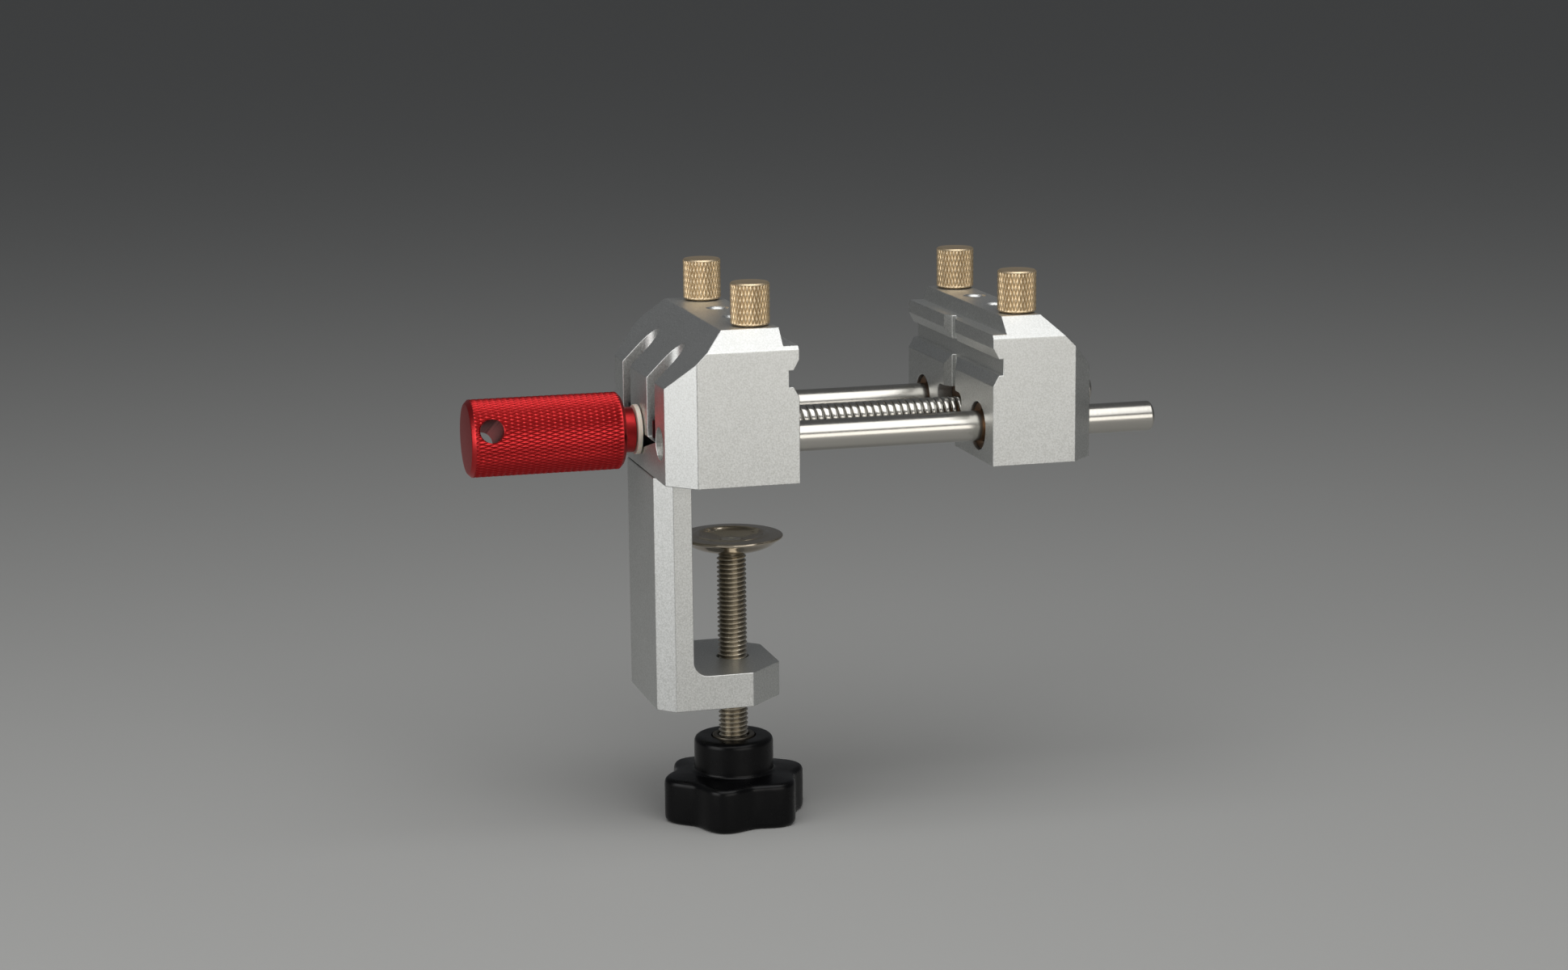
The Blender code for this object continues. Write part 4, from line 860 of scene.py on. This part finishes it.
washers = {
    "inner_thrust_washer": (bronze, "bronze"),
    "outer_thrust_washer": (cut_nylon("natural_nylon"), "nylon"),
}
for node, (material, slot_name) in washers.items():
    bar = level_bar(node)
    wall = rounded([(radius, along, WASHER_ROUND) for radius, along in (
        (WASHER_BORE_RADIUS, bar.start), (bar.radius, bar.start), (bar.radius, bar.end),
        (WASHER_BORE_RADIUS, bar.end))], SMALL_CURVE_STEPS)
    washer = add_ring(f"{node}_punched", wall, BUSH_STEPS, along_x(bar.y, bar.z), material)
    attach(washer, "lead_screw_set")
    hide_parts(node)

# The handle: aluminium bar with a rolled diamond knurl, a turned neck and a cross hole for a
# tommy bar, anodised red. The knurl's grooves are painted dark red as shade and its tips light
# red as a painted highlight. A grub screw from the far side locks it on the journal.
HANDLE_KNURL_COUNT = 60
HANDLE_KNURL_PITCH = 3.2 * MM
HANDLE_KNURL_DEPTH = 0.24 * MM
HANDLE_CHAMFER = 1.0 * MM
HANDLE_CHAMFER_ROUND = 0.25 * MM
NECK_RADIUS = 6.0 * MM
NECK_LENGTH = 3.3 * MM
NECK_ROUND = 0.35 * MM
HANDLE_BORE_END_X = -58.55 * MM
TOMMY_X = -65.35 * MM
TOMMY_TURN = radians(20)
TOMMY_RADIUS = 3.15 * MM
TOMMY_CHAMFER = 0.5 * MM
KNURL_SAMPLES = 8
KNURL_TIP_SHARE = 0.75
KNURL_SHARP = radians(18)
# Painted light: knurl grooves take the painted shade colour, tips the painted highlight colour, and plain
# stretches mostly the highlight colour
PLAIN_LIT_SHARE = 0.8
RED_GROOVE_SHADE = "#8E181A"
RED_TIP_HIGHLIGHT = "#C83638"
RED_ROUGHNESS = (0.34, 0.48)
RED_MOTTLE = 1.0 * MM


def ridge(phase):
    """A ridge over one period: 1 on its crest and 0 in the groove."""
    return abs(2 * (phase % 1) - 1)


def knurled(radius, depth, count, pitch, start, end, before, after, place):
    """A bar with a diamond knurl from start to end: two families of grooves cross, and what
    is left between them stands up as small blunt diamonds, long along the bar."""
    steps = count * KNURL_SAMPLES
    row_count = int((end - start) / pitch * KNURL_SAMPLES)
    rows = [(r, z, None) for r, z in before]
    rows += [(radius, start + (end - start) * k / row_count, k) for k in range(row_count + 1)]
    rows += [(r, z, None) for r, z in after]
    shape = bmesh.new()
    relief = shape.verts.layers.float.new("relief")
    rings = []
    for r, along, k in rows:
        ring = []
        for i in range(steps if r else 1):
            angle = 2 * pi * i / steps
            height = PLAIN_LIT_SHARE
            reach = r
            if k is not None:
                low_ridge = min(ridge((i + k) / KNURL_SAMPLES), ridge((i - k) / KNURL_SAMPLES))
                fade = min(1, (along - start) / (2 * depth), (end - along) / (2 * depth))
                height = 1 - (1 - min(1, low_ridge / KNURL_TIP_SHARE)) * fade
                reach = r - depth * (1 - height)
            vert = shape.verts.new(place(reach * cos(angle), reach * sin(angle), along))
            vert[relief] = height
            ring.append(vert)
        rings.append(ring)
    for lower, upper, (_, _, k) in zip(rings, rings[1:], rows):
        for i in range(steps):
            corners = corners_between(lower, upper, i, steps)
            if k is None or k == row_count:
                shape.faces.new(corners)
                continue
            rising = ridge((i + k + 1) / KNURL_SAMPLES)
            falling = ridge((i - k) / KNURL_SAMPLES)
            first = 1 if rising < falling else 0
            loop = corners[first:] + corners[:first]
            shape.faces.new(loop[:3])
            shape.faces.new((loop[0], loop[2], loop[3]))
    bmesh.ops.recalc_face_normals(shape, faces=shape.faces)
    return shape


def along_y(x, z, tilt=0):
    """Turning axis along Y, or across the vise with its near end raised by an angle."""
    return lambda a, b, c: (x + b, c * cos(tilt) + a * sin(tilt), z + a * cos(tilt) - c * sin(tilt))


shoulder = grip.end - NECK_LENGTH
knurl_start = grip.start + HANDLE_CHAMFER
knurl_end = shoulder - HANDLE_CHAMFER
chamfer_foot = grip.radius - HANDLE_CHAMFER
bore_radius = JOURNAL_RADIUS + FIT_GAP
outer_end = rounded([(0, grip.start), (chamfer_foot, grip.start, HANDLE_CHAMFER_ROUND),
                     (grip.radius, knurl_start)], SMALL_CURVE_STEPS)[:-1]
inner_end = rounded([
    (grip.radius, knurl_end), (chamfer_foot, shoulder, HANDLE_CHAMFER_ROUND),
    (NECK_RADIUS, shoulder, NECK_ROUND), (NECK_RADIUS, grip.end, NECK_ROUND), (bore_radius, grip.end),
    (bore_radius, HANDLE_BORE_END_X), (0, HANDLE_BORE_END_X)], SMALL_CURVE_STEPS)[1:]
shape = knurled(grip.radius, HANDLE_KNURL_DEPTH, HANDLE_KNURL_COUNT, HANDLE_KNURL_PITCH, knurl_start,
                knurl_end, outer_end, inner_end, screw_line)
mouth = TOMMY_RADIUS + TOMMY_CHAMFER + OVERRUN
beyond = grip.radius + OVERRUN
straight = grip.radius - TOMMY_CHAMFER
tommy_hole = [(0, -beyond), (mouth, -beyond), (TOMMY_RADIUS, -straight), (TOMMY_RADIUS, straight),
              (mouth, beyond), (0, beyond)]
grub_low, grub_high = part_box("handle_grub_screw")
grub_radius = (grub_high.x - grub_low.x) / 2
grub_axis = along_y((grub_low.x + grub_high.x) / 2, (grub_low.z + grub_high.z) / 2)
cutters = [turned(tommy_hole, BORE_STEPS, along_y(TOMMY_X, grip.z, TOMMY_TURN)),
           turned(plug(grub_radius + FIT_GAP, 0, beyond), SMALL_STEPS, grub_axis)]
red_aluminium = relief_shaded_metal("red_anodised_aluminium", RED_GROOVE_SHADE, RED_TIP_HIGHLIGHT, RED_ROUGHNESS, RED_MOTTLE)
handle = add_piece("handle_knurled", carved(shape, cutters, "handle_knurled"), red_aluminium, KNURL_SHARP)
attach(handle, "lead_screw_set")
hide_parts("handle")
handle_grub = socket_screw("handle_grub_screw_blacked", grub_profile(grub_low.y, grub_high.y, grub_radius),
                           GRUB_SOCKET_WIDTH, grub_high.y - GRUB_SOCKET_DEPTH, grub_high.y + OVERRUN,
                           grub_axis)
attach(handle_grub, "lead_screw_set")
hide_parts("handle_grub_screw")

# The pressure pad: a dish pressed from steel sheet, nickel plated and buffed, that swivels on
# the clamp screw's riveted tip. A raised ring bites under the bench top.
PAD_COLOR = "#C2B7A6"
PAD_ROUGHNESS = (0.09, 0.17)
BUFF_MARK = 0.5 * MM
PAD_STEPS = 128
RIM_THICKNESS = 0.7 * MM
RIM_Z = -20.0 * MM
RIM_DROP = 1.0 * MM
RIM_ROUND = 0.65 * MM
RIDGE_RADIUS = 9.6 * MM
RIDGE_WIDTH = 0.8 * MM
RIDGE_ROUND = 0.5 * MM
BUFFED_ROUND = 0.9 * MM
DISH_Z = -21.9 * MM
HUB_RADIUS = 4.3 * MM
HUB_ROUND = 1.6 * MM
BELLY_RADIUS = 10.5 * MM
BELLY_Z = -23.2 * MM
BELLY_ROUND = 3.0 * MM
PAD_BORE_RADIUS = 2.3 * MM
nickel_pad = fine_finished_metal("buffed_nickel_plate", PAD_COLOR, PAD_ROUGHNESS,
                                 (1 / BUFF_MARK, 1 / BUFF_MARK, 1 / BUFF_MARK))
bar = upright_bar("pressure_pad")
wall = rounded([
    (PAD_BORE_RADIUS, bar.foot, FIT_GAP), (HUB_RADIUS, bar.foot, HUB_ROUND),
    (BELLY_RADIUS, BELLY_Z, BELLY_ROUND),
    (bar.radius - RIM_THICKNESS, RIM_Z - RIM_DROP, FIT_GAP), (bar.radius, RIM_Z - RIM_THICKNESS, FIT_GAP),
    (bar.radius, RIM_Z, RIM_ROUND), (RIDGE_RADIUS + RIDGE_WIDTH, RIM_Z + RIDGE_ROUND / 4, RIDGE_ROUND),
    (RIDGE_RADIUS, bar.top, RIDGE_ROUND), (RIDGE_RADIUS - RIDGE_WIDTH, bar.top, RIDGE_ROUND),
    (RIDGE_RADIUS - 2 * RIDGE_WIDTH, RIM_Z - RIM_THICKNESS, BUFFED_ROUND), (HUB_RADIUS, DISH_Z, HUB_ROUND),
    (PAD_BORE_RADIUS, DISH_Z, FIT_GAP)])
pad = add_ring("pressure_pad_pressed", wall, PAD_STEPS, along_z(bar.x, bar.y), nickel_pad)
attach(pad, "pad")
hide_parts("pressure_pad")

# The clamp screw: M8 steel bar with a rolled thread of 1.25 mm pitch, nickel plated, which
# gives a warm grey. Its thin pivot is spread over the pad by a riveting punch.
CLAMP_PITCH = 1.25 * MM
CLAMP_DEPTH = 0.72 * MM
CLAMP_FORM_SHARES = (
    (0, 0), (0.07, 0.03), (0.14, 0.14), (0.40, 0.86), (0.46, 0.97), (0.54, 0.97), (0.60, 0.86), (0.86, 0.14),
    (0.93, 0.03))
THREAD_IN_KNOB = 1.0 * MM
THREAD_TOP_Z = -25.2 * MM
PIVOT_RADIUS = 2.0 * MM
RIVET_RADIUS = 2.8 * MM
RIVET_FOOT_Z = -21.6 * MM
RIVET_ROUND = 0.15 * MM
RIVET_DENT_RADIUS = 1.3 * MM
RIVET_DENT = 0.25 * MM
# Painted highlight on the thread's crests and painted shade in its roots
NICKEL_CREST_HIGHLIGHT = "#E4DCCC"
NICKEL_ROOT_SHADE = "#7A7263"
knob_bar = upright_bar("star_knob")
screw_bar = upright_bar("clamp_screw")
thread_foot = knob_bar.top - THREAD_IN_KNOB
shank = rounded([(0, screw_bar.foot), (screw_bar.radius, screw_bar.foot, FIT_GAP),
                 (screw_bar.radius, thread_foot)])[1:]
rivet = rounded([
    (PIVOT_RADIUS, THREAD_TOP_Z), (PIVOT_RADIUS, RIVET_FOOT_Z), (RIVET_RADIUS, RIVET_FOOT_Z, RIVET_ROUND),
    (RIVET_RADIUS - RIVET_ROUND, screw_bar.top, RIVET_ROUND), (RIVET_DENT_RADIUS, screw_bar.top, FIT_GAP),
    (RIVET_DENT_RADIUS / 2, screw_bar.top - RIVET_DENT)])
shape = threaded(screw_bar.radius, CLAMP_DEPTH, CLAMP_FORM_SHARES, CLAMP_PITCH, thread_foot, THREAD_TOP_Z,
                 shank, rivet, along_z(screw_bar.x, screw_bar.y))
nickel = relief_shaded_metal("nickel_plated_thread", NICKEL_ROOT_SHADE, NICKEL_CREST_HIGHLIGHT, THREAD_ROUGHNESS, THREAD_MOTTLE)
clamp_screw = add_piece("clamp_screw_rolled", mesh_of(shape, "clamp_screw_rolled"), nickel)
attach(clamp_screw, "clamp_screw_set")
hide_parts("clamp_screw")

# The star knob: black phenolic, moulded under heat round a steel insert, so it is glossy with
# soft edges. Six lobes run out from a round hub.
KNOB_LOBES = 6
KNOB_TURN = radians(6)
KNOB_HOLLOW = 3.2 * MM
KNOB_STEPS = 216
KNOB_CURVE_STEPS = 6
HUB_HEIGHT = 9.6 * MM
KNOB_HUB_RADIUS = 10.7 * MM
HUB_TOP_ROUND = 1.8 * MM
HUB_FILLET = 1.0 * MM
LOBE_ROUND = 1.7 * MM
LOBE_SLOPE = 0.5 * MM
INSERT_COLOR = "#6E685E"
INSERT_ROUGHNESS = (0.38, 0.52)
PHENOLIC_COLOR = "#040405"
PHENOLIC_ROUGHNESS = (0.24, 0.34)
MOULD_WAVE = 4 * MM
MOULD_WAVE_DEPTH = 0.15 * MM
knob_material, tree, shader, place = start_material("black_phenolic", IOR=1.45, Specular_IOR_Level=0.22)
shader.inputs["Base Color"].default_value = linear(PHENOLIC_COLOR)
wave = add_node(tree, "ShaderNodeTexNoise", {"Vector": place, "Scale": 1 / MOULD_WAVE, "Detail": 3.0})
gloss = add_node(tree, "ShaderNodeMapRange", {
    "Value": wave.outputs[0], "From Min": NOISE_RANGE[0], "From Max": NOISE_RANGE[1],
    "To Min": PHENOLIC_ROUGHNESS[0], "To Max": PHENOLIC_ROUGHNESS[1]})
ripple = add_node(tree, "ShaderNodeBump", {
    "Height": wave.outputs[0], "Strength": 0.15, "Distance": MOULD_WAVE_DEPTH})
feed(shader, Roughness=gloss.outputs[0], Normal=ripple.outputs[0])
insert_bar = upright_bar("knob_insert")
insert_bore = screw_bar.radius + FIT_GAP
insert_seat = insert_bar.radius + FIT_GAP
bore_foot = screw_bar.foot - FIT_GAP
seat_foot = insert_bar.foot - FIT_GAP
star_top = knob_bar.top - HUB_HEIGHT
section = rounded([
    (0, bore_foot), (insert_bore, bore_foot), (insert_bore, seat_foot), (insert_seat, seat_foot),
    (insert_seat, knob_bar.top, FIT_GAP), (KNOB_HUB_RADIUS, knob_bar.top, HUB_TOP_ROUND),
    (KNOB_HUB_RADIUS, star_top, HUB_FILLET), (knob_bar.radius, star_top - LOBE_SLOPE, LOBE_ROUND),
    (knob_bar.radius, knob_bar.foot, LOBE_ROUND), (0, knob_bar.foot)], KNOB_CURVE_STEPS)
lobe_start = KNOB_HUB_RADIUS + HUB_FILLET
lobe_length = (knob_bar.radius - LOBE_ROUND) - lobe_start
spot = along_z(knob_bar.x, knob_bar.y)
shape = bmesh.new()
rings = []
for r, along in section:
    follow = min(1, max(0, (r - lobe_start) / lobe_length))
    if along < star_top - LOBE_ROUND:
        follow = r / knob_bar.radius if r > insert_seat else 0
    ring = []
    for i in range(KNOB_STEPS if r else 1):
        angle = 2 * pi * i / KNOB_STEPS
        reach = r - follow * KNOB_HOLLOW * (1 - cos(KNOB_LOBES * angle)) / 2
        angle += KNOB_TURN
        ring.append(shape.verts.new(spot(reach * cos(angle), reach * sin(angle), along)))
    rings.append(ring)
join_rings(shape, rings, KNOB_STEPS)
knob = add_piece("star_knob_moulded", mesh_of(shape, "star_knob_moulded"), knob_material)
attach(knob, "clamp_screw_set")
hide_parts("star_knob")
wall = rounded([(radius, along, BUSH_ROUND) for radius, along in (
    (insert_bore, insert_bar.foot), (insert_bar.radius, insert_bar.foot),
    (insert_bar.radius, insert_bar.top), (insert_bore, insert_bar.top))])
turned_steel = fine_finished_metal("turned_zinc_plate", INSERT_COLOR, INSERT_ROUGHNESS,
                                   (1 / GRIND_LENGTH, 1 / GRIND_LENGTH, 1 / GRIND_RING))
insert = add_ring("knob_insert_turned", wall, BUSH_STEPS, along_z(insert_bar.x, insert_bar.y), turned_steel)
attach(insert, "clamp_screw_set")
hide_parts("knob_insert")

# The dog pins: brass, turned with a thin shank and a knurled head to lift them by. The knurl's
# tips are painted pale as a highlight, and its grooves a darker brown as painted shade.
PIN_KNURL_COUNT = 32
PIN_KNURL_PITCH = 3.1 * MM
PIN_KNURL_DEPTH = 0.20 * MM
PIN_HEAD_HEIGHT = 11 * MM
PIN_CHAMFER = 0.4 * MM
PIN_CHAMFER_ROUND = 0.15 * MM
PIN_SHANK_RADIUS = 2.1 * MM
PIN_SHANK_ROUND = 0.5 * MM
# Painted shade in the knurl's grooves and a painted highlight on its tips
BRASS_GROOVE_SHADE = "#B0946A"
BRASS_TIP_HIGHLIGHT = "#F4DEBB"
BRASS_ROUGHNESS = (0.38, 0.50)
BRASS_MOTTLE = 0.8 * MM
brass = relief_shaded_metal("turned_brass", BRASS_GROOVE_SHADE, BRASS_TIP_HIGHLIGHT, BRASS_ROUGHNESS, BRASS_MOTTLE)
for jaw_word in ("fixed", "moving"):
    for side_word in SIDES:
        bar = upright_bar(f"{jaw_word}_pin_{side_word}")
        knurl_foot = bar.top - PIN_HEAD_HEIGHT + PIN_CHAMFER
        knurl_top = bar.top - PIN_CHAMFER
        lower = rounded([
            (0, bar.foot), (PIN_SHANK_RADIUS, bar.foot, PIN_SHANK_ROUND),
            (PIN_SHANK_RADIUS, bar.top - PIN_HEAD_HEIGHT),
            (bar.radius - PIN_CHAMFER, bar.top - PIN_HEAD_HEIGHT, PIN_CHAMFER_ROUND),
            (bar.radius, knurl_foot)], SMALL_CURVE_STEPS)[:-1]
        upper = rounded([(bar.radius, knurl_top), (bar.radius - PIN_CHAMFER, bar.top, PIN_CHAMFER_ROUND),
                         (0, bar.top)], SMALL_CURVE_STEPS)[1:]
        shape = knurled(bar.radius, PIN_KNURL_DEPTH, PIN_KNURL_COUNT, PIN_KNURL_PITCH, knurl_foot,
                        knurl_top, lower, upper, along_z(bar.x, bar.y))
        name = f"{jaw_word}_pin_{side_word}_knurled"
        pin = add_piece(name, mesh_of(shape, name), brass, KNURL_SHARP)
        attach(pin, f"pin_{jaw_word}_{side_word}")
        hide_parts(f"{jaw_word}_pin_{side_word}")
